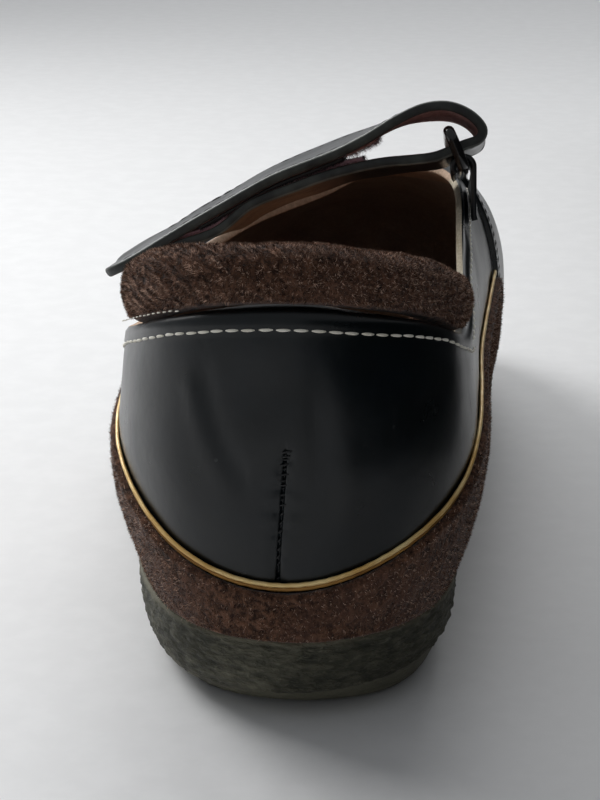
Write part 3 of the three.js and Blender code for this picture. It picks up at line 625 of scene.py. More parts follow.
def clothNodes(first, second, scale=900):
    def build(w):
        p = w.place()
        grain = w.noise(p, scale, 4, 0.7)
        patch = w.noise(p, 70, 3, 0.6)
        colour = (grain * 0.6 + patch * 0.5).ease(0.35, 0.8).blend(first, second)
        return {"Base_Color": colour, "Normal": w.bump(grain, 0.0004, 0.5)}
    return build


def plainNodes(first, second, scale, depth, roughness=(0.4, 0.6)):
    def build(w):
        p = w.place()
        grain = w.noise(p, scale, 4, 0.6)
        patch = w.noise(p, 110, 3, 0.6)
        low, high = roughness
        return {"Base_Color": patch.ease(0.35, 0.7).blend(first, second),
                "Roughness": low + patch * (high - low), "Normal": w.bump(grain, depth, 0.6)}
    return build


def strapNodes(w):
    # the strap's outside: tan lining under its root, black leather further on
    p = w.place()
    grain = w.noise(p, 900, 4, 0.6)
    soft = w.noise(p, 110, 3, 0.6)
    tan = w.mark("under")
    black = soft.ease(0.35, 0.7).blend(rgb(9, 11, 14), rgb(24, 27, 29))
    light = (grain * 0.5 + soft * 0.6).ease(0.35, 0.75).blend(rgb(116, 92, 72), rgb(166, 140, 112))
    return {"Base_Color": tan.blend(black, light), "Roughness": 0.3 + soft * 0.15 + tan * 0.3,
            "Normal": w.bump(grain, 0.00008, 0.5)}


suedeLook = {"Roughness": 0.95, "Sheen_Weight": 0.25, "Sheen_Roughness": 0.4, "Specular_IOR_Level": 0.15}
finish = {
    "leather": material("navyLeather", leatherNodes(rgb(3, 9, 12), rgb(5, 13, 18)), Specular_IOR_Level=0.4),
    "strap": material("strapLeather", strapNodes, Coat_Weight=0.1),
    "suede": material("brownSuede", suedeNodes(rgb(30, 16, 10), rgb(128, 92, 72), rgb(96, 70, 60)),
                      **suedeLook),
    "nap": material("suedeNap", napNodes(rgb(34, 20, 13), rgb(118, 84, 66), rgb(226, 194, 172)), **suedeLook),
    "foam": material("oliveFoam", foamNodes, Specular_IOR_Level=0.4),
    "gold": material("goldCord", plainNodes(rgb(216, 172, 96), rgb(246, 220, 158), 1600, 0.0002, (0.3, 0.42)),
                     Metallic=0.25, Coat_Weight=0.3),
    # painted shade: the lower cord is the same gold, made darker where it lies under the upper cord
    "shadedGold": material("shadedGoldCord",
                         plainNodes(rgb(134, 92, 34), rgb(176, 130, 62), 1600, 0.0002, (0.35, 0.5)),
                         Metallic=0.25),
    "thread": material("creamThread", plainNodes(rgb(226, 221, 205), rgb(240, 236, 224), 3000, 0.0001),
                       Sheen_Weight=0.2),
    "blackThread": material("blackThread", plainNodes(rgb(6, 7, 9), rgb(14, 15, 18), 3000, 0.0001)),
    "edge": material("edgePaint", plainNodes(rgb(24, 26, 25), rgb(62, 66, 62), 900, 0.0003, (0.42, 0.6))),
    # painted sheen: a lighter grey copy of the edge paint for one half of the strap's edges, with a lower
    # roughness
    "paintedSheen": material("paintedSheenEdge", plainNodes(rgb(70, 74, 70), rgb(104, 106, 100), 900, 0.0002, (0.3, 0.45))),
    "lining": material("mauveLining", clothNodes(rgb(116, 70, 68), rgb(186, 140, 132)), Roughness=0.85),
    "tan": material("tanLining", clothNodes(rgb(148, 120, 98), rgb(202, 172, 144)), Roughness=0.7),
    "inside": material("brownLining", clothNodes(rgb(138, 122, 110), rgb(172, 156, 142)), Roughness=0.8),
    "pile": material("mauvePile", clothNodes(rgb(120, 82, 90), rgb(180, 142, 148), 1800), Roughness=0.95,
                     Sheen_Weight=0.4),
    "pileHair": material("pileHair", napNodes(rgb(100, 62, 72), rgb(176, 134, 140), rgb(236, 214, 214)),
                         Roughness=0.95),
    "hooks": material("blackHooks", plainNodes(rgb(12, 12, 13), rgb(26, 26, 28), 2200, 0.0003)),
    "hookHair": material("hookHair", napNodes(rgb(6, 6, 7), rgb(18, 18, 20), rgb(52, 50, 52)), Roughness=0.6),
    "raw": material("rawEdge", clothNodes(rgb(150, 138, 116), rgb(206, 196, 176), 1400), Roughness=0.9),
    "ring": material("blackEnamel", plainNodes(rgb(10, 10, 11), rgb(22, 22, 24), 900, 0.00006, (0.18, 0.32)),
                     Metallic=0.3, Coat_Weight=0.5),
    "footbed": material("tanFootbed", clothNodes(rgb(158, 132, 110), rgb(190, 166, 142)), Roughness=0.8),
}
print("materials made")


# Sole: rings from the spine out to the rim, down the side past the crease, and back in underneath
sole = {"rows": 22 * 24, "roundness": 2.3, "grooveWide": 2.6, "grooveDeep": 1.8, "pebble": 0.16,
        "heelGrooves": (-9.8, 9.8, 19.65), "ballGrooves": 9}


def spineAt(row, final):
    # the line along the middle that the rings of the sole and of the footbed close on
    share = np.minimum(row, stations - row) / (stations / 2)
    return np.stack([0 * row, mix(alongAt(0.17), alongAt(final), np.clip(share * 1.24 - 0.12, 0, 1))], -1)


def grooveDepth(x, y):
    # shallow bows across the foot, a flat-bottomed trough each
    bow = shoe["ballWidth"] * 1.5
    lines = list(sole["heelGrooves"]) + list(alongAt(np.linspace(0.5, 0.8, sole["ballGrooves"])))
    depth = np.zeros(np.broadcast(x, y).shape)
    for line in lines:
        away = np.abs(np.hypot(x, y - line + bow) - bow)
        depth = np.maximum(depth, 1 - smooth(sole["grooveWide"] * 0.36, sole["grooveWide"] * 0.64, away))
    return depth * sole["grooveDeep"]


def makeSole():
    row = np.arange(sole["rows"]) / sole["rows"] * stations
    out = outward(row)
    rim = feather(row) + out * (column["margin"](row) * shoe["ballSole"])[:, None]
    spine = spineAt(row, 0.83)
    edgeIn = column["inset"](row) * shoe["ballSole"]
    tread = rim - out * edgeIn[:, None]
    floor = treadHeight(tread[:, 0], tread[:, 1])
    top = soleTop(rim[:, 1])
    creaseDepth = 1 - column["creaseUp"](row)
    inner = smooth(-25, 5, rim[:, 0])  # the crease is a groove on the inner side, faint on the outer
    rings, roughs, lines = [], [], []

    def plan(points, height, rough=1.0, line=0.0):
        rings.append(np.concatenate([points, height[:, None]], -1))
        roughs.append(rough + 0 * height)
        lines.append(line + 0 * height)

    for s in np.linspace(0, 0.95, 12):
        points = mix(spine, rim, s)
        plan(points, soleTop(points[:, 1]))
    # down the side, from the rim (0) past the crease (1) to the tread (2)
    side = np.concatenate([np.linspace(0, 0.95, 34), [0.97, 0.985, 1, 1.015, 1.03], np.linspace(1.06, 2, 20)])
    for s in side:
        depth = creaseDepth * s if s <= 1 else mix(creaseDepth, 1, s - 1)
        curve = edgeIn * (1 - np.sqrt(np.maximum(0, 1 - depth ** sole["roundness"])))
        back = shoe["crease"] * smooth(0.99, 1.02, s) * (1 - smooth(1.6, 2, s))
        groove = 0.55 * bellAt(s, 1.0, 0.018) * mix(0.25, 1, inner)
        lip = 0.25 * bellAt(s, 0.93, 0.05) * inner
        shoulder = 0.5 * (1 - smooth(0, 0.05, s))
        points = rim - out * (curve + back + groove - lip + shoulder)[:, None]
        height = mix(top - 0.05, floor, depth)
        # rough: the pebbled band of the side; the foam also paints it darker, a painted shadow under the rand
        rough = smooth(0.02, 0.1, s) * (1 - 0.85 * smooth(1.0, 1.03, s) * inner)
        swell = waves(row * 17, height * 1.7, 44, 1.6, 4.2, 3) * sole["pebble"]
        swell = swell * rough * (1 - smooth(1.8, 2, s))
        # line: a painted shadow along the bottom of the crease groove
        line = 0.75 * bellAt(s, 1.005, 0.012) * inner
        plan(points + out * swell[:, None], height, rough, line)
    for s in np.linspace(0.02, 1, 56):
        points = mix(tread, spine, s)
        lift = grooveDepth(points[:, 0], points[:, 1]) * smooth(0.02, 0.07, s)
        plan(points, treadHeight(points[:, 0], points[:, 1]) + lift)
    grid = np.stack(rings, 1)
    faces = gridFaces(grid.shape[0], grid.shape[1], True, False)
    points = grid.reshape(-1, 3)
    marks = {"rough": np.stack(roughs, 1), "line": np.stack(lines, 1)}
    return ride(weld(addMesh("sole_foam", points, faces, [finish["foam"]], marks=marks)), "sole")


def weld(piece, distance=1e-5):
    # merges points that share a place, so that a shared spine is closed
    soft = bmesh.new()
    soft.from_mesh(piece.data)
    bmesh.ops.remove_doubles(soft, verts=soft.verts, dist=distance)
    bmesh.ops.dissolve_degenerate(soft, dist=1e-7, edges=soft.edges)
    bmesh.ops.recalc_face_normals(soft, faces=soft.faces)
    soft.to_mesh(piece.data)
    soft.free()
    return piece


makeSole()
print("sole made")


# Upper: one shell, outside from the sole up, over the edge, and down inside
upper = {"steps": 16, "outside": 56, "inside": 30, "edge": 6}


def wallAt(row, up):
    behind = np.minimum(np.abs(row), stations - row)
    padded = 1 - smooth(shoe["collar"][0] - 0.6, shoe["collar"][0] + 0.7, behind)
    return shoe["wall"] + shoe["padding"] * padded * smooth(0.25, 0.95, up)


def signedRow(row):
    return np.mod(row + stations / 2, stations) - stations / 2


backSeam = {"low": 31, "high": 58, "lace": 46}  # heights of the puckered seam up the back


def seamRow(height):
    # the seam leans a little, from the outer side at its top to the inner side at the cord
    return mix(0.04, -0.045, (height - backSeam["low"]) / (backSeam["high"] - backSeam["low"]))


def reliefAt(row, up, height):
    # soft troughs and ridges worked by hand into the leather, in millimetres
    r = signedRow(row)
    calm = 1 - smooth(5, 7, np.abs(r)) * smooth(0.35, 0.75, up)
    total = 0.14 * waves(r * 22, height, 14, 14, 40, 11) * smooth(0.1, 0.3, up) * calm
    away = r + seamRow(height)
    low, high, lace = backSeam["low"], backSeam["high"], backSeam["lace"]
    within = smooth(low - 6, low - 2, height) * (1 - smooth(high - 3, high + 1, height))
    total = total - (0.7 + 0.25 * np.sin(height * 2 * math.pi / 1.9)) * bellAt(away, 0, 0.013) * within
    total = total - 0.35 * bellAt(away, 0, 0.07) * within
    nick = np.sin(height * 2 * math.pi / 1.9 + 1.5 * np.sin(height * 0.9) + 14 * away)
    total = total + 0.2 * nick * bellAt(np.abs(away), 0.045, 0.04) * within * (1 + smooth(lace, high, height))
    pull = np.sin(height * 2 * math.pi / 4.3 + 0.8) * bellAt(np.abs(away), 0.1, 0.09)
    total = total + 0.16 * pull * smooth(low, low + 6, height) * (1 - smooth(lace, high, height))
    fold = ((-0.66, 69), (-0.62, 65), (-0.56, 61), (-0.49, 57.5), (-0.41, 54.5), (-0.33, 52))
    for place, level in fold:
        total = total - 0.3 * bellAt(r, place, 0.06) * bellAt(height, level, 3.2)
        total = total + 0.26 * bellAt(r, place - 0.13, 0.07) * bellAt(height, level - 2.5, 3.6)
    total = total - 0.1 * bellAt(r, -0.52, 0.012) * bellAt(height, 60, 2.2)
    total = total - 0.45 * bellAt(r, 0.33, 0.13) * bellAt(height, 60, 10)
    total = total + 0.35 * bellAt(r, 0.62, 0.14) * bellAt(height, 52, 10)
    strip = height - (lastPoint(r, 1.0)[..., 2] - 3.1)
    return total + 0.22 * smooth(-0.5, 0.3, strip) * smooth(4.4, 4.0, np.abs(r + 0.2))


def vampStepAt(row):
    inner, outer = shoe["vamp"]
    soft = 0.012
    step = shoe["vampStep"] * smooth(inner - soft, inner + soft, row)
    return step * (1 - smooth(outer - soft, outer + soft, row))


def makeUpper():
    inner, outer = shoe["vamp"]
    close = np.array([-0.03, -0.018, -0.01, -0.004, 0.002, 0.008, 0.014, 0.024, 0.04])
    back = np.linspace(-0.3, 0.3, 61)
    row = np.concatenate([np.arange(stations * upper["steps"]) / upper["steps"], inner + close, outer + close,
                          np.mod(back, stations)])
    row = np.unique(np.round(row, 4))
    row = row[np.concatenate([[True], np.diff(row) > 0.0015])]
    up = np.linspace(0, 1, upper["outside"])
    base = lastPoint(row[:, None], up[None, :])
    step = vampStepAt(row)[:, None]
    groove = 0.5 * (bellAt(row, inner - 0.016, 0.01) + bellAt(row, outer + 0.016, 0.01))[:, None]
    out = reliefAt(row[:, None], up[None, :], base[..., 2]) + step - groove
    out = out - 0.5 * smooth(0.985, 1, up)[None, :]
    outside = offLast(row[:, None], up[None, :], out)
    wall = wallAt(row[:, None], np.ones((1, 1)))
    turn = np.linspace(0, math.pi, upper["edge"] + 2)[1:-1]
    middle = (-wall + step - 0.5) / 2
    half = (wall + step - 0.5) / 2
    rim = offLast(row[:, None], np.ones((1, len(turn))), middle + half * np.cos(turn)[None, :])
    rim[..., 2] += (0.5 * np.sin(turn))[None, :]
    down = np.linspace(1, 0, upper["inside"])
    inside = offLast(row[:, None], down[None, :], -wallAt(row[:, None], down[None, :]))
    grid = np.concatenate([outside, rim, inside], 1)
    rows, size = grid.shape[:2]
    faces = gridFaces(rows, size, True, True)
    j = np.tile(np.arange(size), rows)
    i = np.repeat(np.arange(rows), size)
    r = signedRow(row[i])
    isInside = j >= upper["outside"] + upper["edge"] // 2
    vampInside = (row[i] > inner) & (row[i] < outer)
    depth = (j - upper["outside"] - upper["edge"]) / upper["inside"]
    looks = ("leather", "lining", "tan", "inside", "raw")
    slot = {look: number for number, look in enumerate(looks)}
    slots = np.where(isInside, slot["inside"], slot["leather"])
    slots = np.where(isInside & vampInside & (depth < 0.12), slot["tan"], slots)
    slots = np.where(isInside & ~vampInside & (r > 2.6), slot["lining"], slots)
    slots = np.where(isInside & ~vampInside & (r < -2.0), slot["tan"], slots)
    atRim = (j >= upper["outside"] - 1 + upper["edge"] // 2) & (j < upper["outside"] + upper["edge"] + 1)
    slots = np.where(atRim & ~vampInside & (r > 2.6), slot["raw"], slots)
    slots = np.where((j >= upper["outside"] - 1) & ~vampInside & (r < -1.9), slot["tan"], slots)
    made = addMesh("upper_leather", grid.reshape(-1, 3), faces, [finish[look] for look in looks], slots)
    return ride(made, "upper")


def belowTop(rows, drop):
    # a line on the leather a little under the topline, and the way out of the leather there
    top = lastPoint(rows, 1.0)[:, 2]
    up = upAtHeight(rows, top - drop)
    relief = reliefAt(rows, up, top - drop) + vampStepAt(np.mod(rows, stations))
    return offLast(rows, up, relief), lastNormal(rows, up)


def makeStitches():
    rows = np.linspace(-2.6, 3.25, 400)
    drop = 3.3 - 0.5 * smooth(0.5, 2.2, rows) + 2.6 * smooth(2.5, 3.3, rows) + 1.5 * smooth(-1.8, -2.6, rows)
    line, normal = belowTop(rows, drop)
    sewn("heel_stitches", line, normal, **stitches["heel"])
    inner, outer = shoe["vamp"]
    edges = (("inner_quarter_stitches", "quarter", 3.02, inner - 0.12, 300),
             ("outer_quarter_stitches", "quarter", outer + 0.12, stations - 2.75, 300),
             ("throat_stitches", "throat", inner + 0.12, outer - 0.12, 500))
    for name, kind, first, final, count in edges:
        rows = np.linspace(first, final, count)
        line, normal = belowTop(rows, 2.7 + 0 * rows)
        sewn(name, line, normal, **stitches[kind])
    for name, edge, side in (("inner", inner, 1), ("outer", outer, -1)):
        for number, off in enumerate((0.09, 0.18)):
            up = np.linspace(0.03, 0.97, 200)
            row = edge + side * off + 0 * up
            height = lastPoint(row, up)[:, 2]
            line = offLast(row, up, reliefAt(row, up, height) + shoe["vampStep"])
            sewn(f"vamp_stitches_{name}_{number + 1}", line, lastNormal(row, up), **stitches["vamp"])
    height = np.linspace(backSeam["low"] - 1, backSeam["high"], 120)
    row = -seamRow(height)
    up = upAtHeight(row, height)
    line = offLast(row, up, reliefAt(row, up, height) + 0.25)
    lower = height < backSeam["lace"]
    normal = lastNormal(row, up)
    sewn("back_seam_lower", line[lower], normal[lower], **stitches["lower"])
    sewn("back_seam_lace", line[~lower], normal[~lower], **stitches["lace"])


makeUpper()
makeStitches()
print("upper made")


# Rand, with the twin cord along its top edge
rand = {"thick": 1.8, "cord": 1.1, "seamRoom": 0.06, "steps": 18, "up": 26}


def rearRows(steps):
    first = shoe["vamp"][1] + rand["seamRoom"] - stations
    final = shoe["vamp"][0] - rand["seamRoom"]
    return np.linspace(first, final, int((final - first) * steps))


def randTop(row):
    return column["randTop"](row) * shoe["back"]


onUpper = shoe["gap"] * 1.45


def makeRand():
    row = rearRows(rand["steps"])
    top = upAtHeight(row, randTop(row))
    share = np.concatenate([[0, 0.004, 0.012, 0.03], np.linspace(0.06, 0.94, rand["up"]),
                            [0.965, 0.985, 0.995, 1]])
    rounded = roundEnd(np.minimum(share, 1 - share) / 0.03)
    height = mix(0.35, 1, rounded) * rand["thick"]
    ups = top[:, None] * share[None, :]
    place = lastPoint(row[:, None], ups)
    swell = 0.1 * waves(row[:, None] * 24, place[..., 2], 16, 6, 20, 5)
    outside = offLast(row[:, None], ups, onUpper + height[None, :] + swell * rounded[None, :])
    inside = offLast(row[:, None], ups[:, ::-1], onUpper + 0 * ups)
    points, faces = solidLoft(np.concatenate([outside, inside], 1))
    made = ride(addMesh("rand_suede", points, faces, [finish["suede"]]), "rand")

    def outer(middle, normal):
        return np.where((normal * unit(middle * [1, 1, 0] - [0, 40, 0])).sum(1) > 0.15, 1, 0)

    napOn("rand_nap", made, outer, **hairs["rand"])
    return made


def makePiping():
    row = rearRows(30)
    base = randTop(row) + shoe["gap"] * 1.3
    sides = 12
    turn = 2 * math.pi * np.arange(sides) / sides
    # the lower cord's darker gold is painted shade
    pieces = (("piping_lower_cord", 0.42, 0.40, 0.34, "shadedGold"),
              ("piping_upper_cord", 1.3, 0.46, 0.42, "gold"))
    for name, centre, tall, deep, look in pieces:
        height = base + centre
        up = upAtHeight(row, height)
        middle = offLast(row, up, 0.1 + deep + 0.12 * np.ones(len(row)))
        normal = lastNormal(row, up)
        run = unit(np.gradient(middle, axis=0))
        side = np.cross(run, normal)
        ends = np.maximum(0.2, roundEnd(np.minimum(row - row[0], row[-1] - row) / 0.02))
        twist = 1 + 0.07 * np.sin(lengthsOf(middle)[:, None] * 2 * math.pi / 0.9 + turn[None, :])
        size = (ends[:, None] * twist)[..., None]
        ring = middle[:, None] + size * (deep * normal[:, None] * np.cos(turn)[None, :, None]
                                         + tall * side[:, None] * np.sin(turn)[None, :, None])
        points, faces = solidLoft(ring)
        made = addMesh(name, points, faces, [finish[look]])
        ride(made, "piping" if centre > 1 else None)


makeRand()
makePiping()
print("rand and piping made")


# Collar: a padded roll on the counter's top edge
collar = {"height": 11, "flank": (2.7, 1.3), "thick": 10.5, "sides": 56, "rows": 260}


def levelOut(row):
    return np.concatenate([outward(row), 0 * row[:, None]], -1)


def collarGrid():
    first, final = shoe["collar"][1] - stations, shoe["collar"][0]
    row = np.linspace(first, final, collar["rows"])
    full = roundEnd(np.minimum(row - first, final - row) / 0.42, 0.02)
    turn = 2 * math.pi * np.arange(collar["sides"]) / collar["sides"]
    squarish = 1 / np.maximum(np.abs(np.cos(turn)), np.abs(np.sin(turn))) ** 0.14
    outer, inner = collar["flank"]
    half = (collar["height"] + outer * smooth(-0.3, -1.6, row) + inner * smooth(1.2, 2.2, row))[:, None] / 2
    rise = half + squarish * half * np.sin(turn) * 0.98 * mix(0.6, 1, full)[:, None]
    depth = squarish * (collar["thick"] / 2) * np.cos(turn) * full[:, None]
    inset = collar["thick"] * 0.4
    grid = lastPoint(row, 1)[:, None] + levelOut(row)[:, None] * (depth - inset)[..., None]
    grid[..., 2] += shoe["gap"] + np.maximum(0, rise)
    return row, grid


def makeCollar():
    row, grid = collarGrid()
    centre = grid.mean(1, keepdims=True)
    outwards = unit(grid - centre)
    lump = waves(row[:, None] * 24, np.arange(collar["sides"])[None, :] * 0.55, 22, 7, 24, 9)
    lift = smooth(0.6, 3.5, grid[..., 2] - grid[..., 2].min(1, keepdims=True))
    grid = grid + outwards * (0.16 * lump * lift)[..., None]
    points, faces = solidLoft(grid)
    made = ride(addMesh("collar_suede", points, faces, [finish["suede"]]), "collar")

    def shown(middle, normal):
        return np.where(normal[:, 2] > -0.75, 1, 0)

    napOn("collar_nap", made, shown, **hairs["collar"])
    # fine dots where the suede is sewn down, on the outer side
    row = np.linspace(-2.02, -0.85, 120)
    out = levelOut(row)
    line = lastPoint(row, 1) + out * (collar["thick"] * 0.1 - 0.1) + [0, 0, 1.2]
    sewn("collar_dots", line, out, **stitches["dots"])
    return made


makeCollar()
print("collar made")


# Strap: flat on the outer quarter, then free over the instep, round an open loop and back
strap = {"steps": 420, "rootSteps": 24, "skipped": 6, "end": 6.75, "grip": 2.9, "flatter": 0.09,
         "patchWide": 0.88, "loopEnd": 0.28, "hookPatch": (0.68, 0.79),
         "run": ((-.734, .861), (-.507, .917), (-.164, .985), (.164, 1.049), (.447, 1.08), (.641, 1.092),
                 (.798, 1.102), (.977, 1.134), (1.071, 1.152), (1.086, 1.172), (1.014, 1.207),
                 (.883, 1.231), (.719, 1.231), (.507, 1.206), (.294, 1.162), (-.039, 1.104),
                 (-.349, 1.051), (-.616, .99), (-.932, .916), (-1.2, .846), (-1.57, .76))}
strapAlong = alongAt(shoe["strapPlace"])
onQuarter = 3.4 * shoe["gap"] + shoe["strapThick"] / 2
innerTop = lastPoint(innerRow(strapAlong, 1), 1)
strapAcross = np.array([0, math.cos(shoe["strapTilt"]), -math.sin(shoe["strapTilt"])])


def throughPoints(points, count):
    # a centripetal curve through the points, resampled at even steps of its length
    p = np.asarray(points, float)
    p = np.concatenate([[2 * p[0] - p[1]], p, [2 * p[-1] - p[-2]]])
    pieces = []
    s = np.linspace(0, 1, 60, endpoint=False)[:, None]
    for i in range(1, len(p) - 2):
        a, b, c, d = p[i - 1:i + 3]
        ab, bc, cd = [max(np.linalg.norm(v) ** 0.5, 1e-4) for v in (b - a, c - b, d - c)]
        leave = ((b - a) / ab - (c - a) / (ab + bc) + (c - b) / bc) * bc
        arrive = ((c - b) / bc - (d - b) / (bc + cd) + (d - c) / cd) * bc
        pieces.append((2 * s ** 3 - 3 * s ** 2 + 1) * b + (s ** 3 - 2 * s ** 2 + s) * leave
                      + (-2 * s ** 3 + 3 * s ** 2) * c + (s ** 3 - s ** 2) * arrive)
    line = np.concatenate(pieces + [p[-2:-1]])
    gone = lengthsOf(line)
    return alongLine(line, gone, np.linspace(0, gone[-1], count)), gone[-1]


def makeStrapPath():
    start = offLast(outerRow(strapAlong, 0.98), 0.98, onQuarter)
    edge = offLast(outerRow(strapAlong, 1), 1.0, onQuarter)
    edge = edge + [0, 0, shoe["strapThick"] * 1.2]
    over = edge + [shoe["wall"], 0, shoe["wall"] * 0.8]
    run = [np.array([a * innerTop[0], strapAlong, h * innerTop[2]]) for a, h in strap["run"]]
    for point in run[:5]:
        # the lower layer is drawn up against the tape by the pile's grip
        point[2] += strap["grip"] * bellAt(point[0], -14, 17)
    points, length = throughPoints([start, edge, over] + run, strap["steps"])
    half = shoe["strapWidth"] / 2
    ahead = offLast(outerRow(strapAlong + half, 1), 1.0, onQuarter)
    behind = offLast(outerRow(strapAlong - half, 1), 1.0, onQuarter)
    return points, length, unit(ahead - behind)


strapPoints, strapLength, edgeAcross = makeStrapPath()


def strapFrame():
    # at each step: the middle, the direction across the strap and the direction out of it
    share = np.linspace(0, 1, strap["steps"])
    run = unit(np.gradient(strapPoints, axis=0))
    across = unit(mix(edgeAcross, strapAcross, smooth(0, 0.14, share)[:, None]))
    flat = np.array([0, math.cos(strap["flatter"]), -math.sin(strap["flatter"])])
    across = unit(mix(across, flat, smooth(0.5, 0.66, share)[:, None]))
    return share, strapPoints, across, unit(np.cross(run, across))


def ribbonSection(half, skin, soft, flat=14, corner=4):
    # a flat strip with rounded edges: pairs of (across, out), from the lower face round the edges
    turn = np.linspace(-math.pi / 2, math.pi / 2, corner * 2 + 1)
    sine = np.sin(turn)
    flatSide = (skin - soft) * np.sign(sine) * (np.abs(sine) > 0.01)
    right = np.stack([half - soft + soft * np.cos(turn), flatSide + soft * sine], -1)
    across = np.linspace(half - soft, -half + soft, flat)[1:-1]
    top = np.stack([across, np.full(len(across), skin)], -1)
    left = right[::-1] * [-1, 1]
    bottom = top[::-1] * [1, -1]
    return np.concatenate([right, top, left, bottom])


def makeStrap():
    share, point, across, up = strapFrame()
    skin = shoe["strapThick"] / 2
    half = shoe["strapWidth"] / 2
    shape = ribbonSection(half, skin, 0.7, 18)
    left = (1 - share) * strapLength
    narrow = 1 - 0.34 * (1 - roundEnd(left / strap["end"], 0.015))
    thin = mix(0.35, 1, roundEnd(left / 0.9, 0.05))
    rootSteps, skipped = strap["rootSteps"], strap["skipped"]
    row = outerRow(strapAlong + shape[:, 0], 1)
    rows = []
    for s in np.linspace(0, 0.96, rootSteps):
        low = upAtHeight(row, randTop(row) + 2 * rand["cord"] + 4 * shoe["gap"])
        rows.append(offLast(row, mix(low, 1, s), onQuarter + shape[:, 1]))
    root = np.stack(rows)
    bow = -0.3 * (shape[:, 0] / half) ** 2
    ripple = 0.12 * waves(share[:, None] * strapLength, shape[None, :, 0], 12, 9, 30, 21)
    rise = shape[:, 1][None, :] * thin[:, None]
    rise = rise + bow[None, :] * smooth(0.05, 0.2, share)[:, None]
    rise = rise + ripple * smooth(0.1, 0.2, share)[:, None]
    free = (point[:, None] + across[:, None] * (shape[:, 0][None, :] * narrow[:, None])[..., None]
            + up[:, None] * rise[..., None])
    grid = np.concatenate([root, free[skipped:]])
    rows, size = grid.shape[:2]
    points, faces = solidLoft(grid)
    # the face towards the foot and the outside of the loop is leather, the other carries the lining
    looks = ("strap", "edge", "lining", "paintedSheen")
    slot = {look: number for number, look in enumerate(looks)}
    kind = np.where(shape[:, 1] > skin - 0.25, slot["lining"], slot["strap"])
    edge = np.abs(shape[:, 0]) > half - 0.5
    kind = np.where(edge, slot["edge"], kind)
    # the half of each edge on the leather side takes the lighter grey, a painted sheen
    kind = np.where(edge & (shape[:, 1] < -0.55), slot["paintedSheen"], kind)
    slots = np.tile(kind, rows - 1)
    slots = np.concatenate([slots, np.full(len(faces) - len(slots), slot["edge"])])
    along = np.concatenate([np.zeros(rootSteps), share[skipped:]])
    under = np.repeat(1 - smooth(0.2, 0.3, along), size)
    under[:rootSteps * size] = 0
    made = addMesh("strap_leather", points, faces, [finish[look] for look in looks], slots,
                   marks={"under": under})
    ride(made, "strap")
    keep = (share > 0.42) & (share < 0.985)
    seam = half - 2.2
    away = -skin - 0.02 - 0.3 * (seam / half) ** 2
    for name, side in (("strap_stitches_near", -1), ("strap_stitches_far", 1)):
        line = (point + across * (side * seam * narrow)[:, None] + up * away)[keep]
        sewn(name, line, -up[keep], **stitches["strap"])
    return made


def patchGrid(span, lift, thick):
    share, point, across, up = strapFrame()
    keep = (share >= span[0]) & (share <= span[1])
    point, across, up = point[keep], across[keep], up[keep]
    half = shoe["strapWidth"] * strap["patchWide"] / 2
    shape = ribbonSection(half, thick / 2, min(0.3, thick * 0.4), 16, 2)
    bow = -0.3 * (shape[:, 0] / (shoe["strapWidth"] / 2)) ** 2
    return (point[:, None] + across[:, None] * shape[:, 0][None, :, None]
            + up[:, None] * (shape[:, 1] + lift + bow)[None, :, None])


def makePatches():
    skin = shoe["strapThick"] / 2
    _, point, _, up = strapFrame()

    def facing(middle, normal):
        near = np.argmin(np.linalg.norm(point[None, ::6] - middle[:, None], axis=2), axis=1)
        return np.where((normal * up[::6][near]).sum(1) > 0.6, 1, 0)

    def patch(name, look, span, lift, thick, node=None):
        points, faces = solidLoft(patchGrid(span, lift, thick))
        return ride(addMesh(name, points, faces, [finish[look]]), node)

    pile = patch("loop_pile", "pile", (0.05, strap["loopEnd"] + 0.02), skin + 0.5, 0.9, "loop_patch")
    napOn("loop_pile_hair", pile, facing, **hairs["pile"])
    start, stop = strap["hookPatch"]
    hooks = patch("hook_tape", "hooks", (start - 0.03, stop + 0.07), skin + 0.5, 0.9, "hook_patch")
    napOn("hook_tape_hooks", hooks, facing, **hairs["hooks"])
    end = patch("hook_tape_end", "lining", (start - 0.075, start - 0.035), skin + 0.2, 0.4)
    napOn("hook_tape_fray", end, None, **hairs["fray"])


makeStrap()
makePatches()
print("strap made")


# Ring and the tab folded round its outer bar
ring = {"wire": 2.6, "spacing": 8.4, "corner": 2.6, "bar": (0.868, 1.166), "lean": 1.15, "tabWidth": 23,
        "tabThick": 1.3, "tabFoot": 0.955}
ringInner = np.array([ring["bar"][0] * innerTop[0], strapAlong, ring["bar"][1] * innerTop[2]])
ringLean = np.array([math.cos(ring["lean"]), 0, -math.sin(ring["lean"])])
ringOuter = ringInner + ringLean * ring["spacing"]


def makeRing():
    halfLong = shoe["strapWidth"] / 2 + ring["wire"] / 2 + shoe["gap"] + 1
    halfShort = ring["spacing"] / 2
    centre = (ringInner + ringOuter) / 2
    normal = unit(np.cross(ringLean, strapAcross))
    path, aim = [], []
    for i, (signA, signB) in enumerate(((1, 1), (-1, 1), (-1, -1), (1, -1))):
        angle = np.linspace(0, math.pi / 2, 12) + i * math.pi / 2
        path.append(np.stack([signA * (halfShort - ring["corner"]) + ring["corner"] * np.cos(angle),
                              signB * (halfLong - ring["corner"]) + ring["corner"] * np.sin(angle)], -1))
        aim.append(angle)
    path, aim = np.concatenate(path), np.concatenate(aim)
    out = ringLean * np.cos(aim)[:, None] + strapAcross * np.sin(aim)[:, None]
    turn = 2 * math.pi * np.arange(20) / 20
    middle = centre + ringLean * path[:, :1] + strapAcross * path[:, 1:]
    grid = middle[:, None] + ring["wire"] / 2 * (out[:, None] * np.cos(turn)[None, :, None]
                                                 + normal * np.sin(turn)[None, :, None])
    points, faces = solidLoft(grid, True)
    return ride(addMesh("ring_wire", points, faces, [finish["ring"]]), "ring")


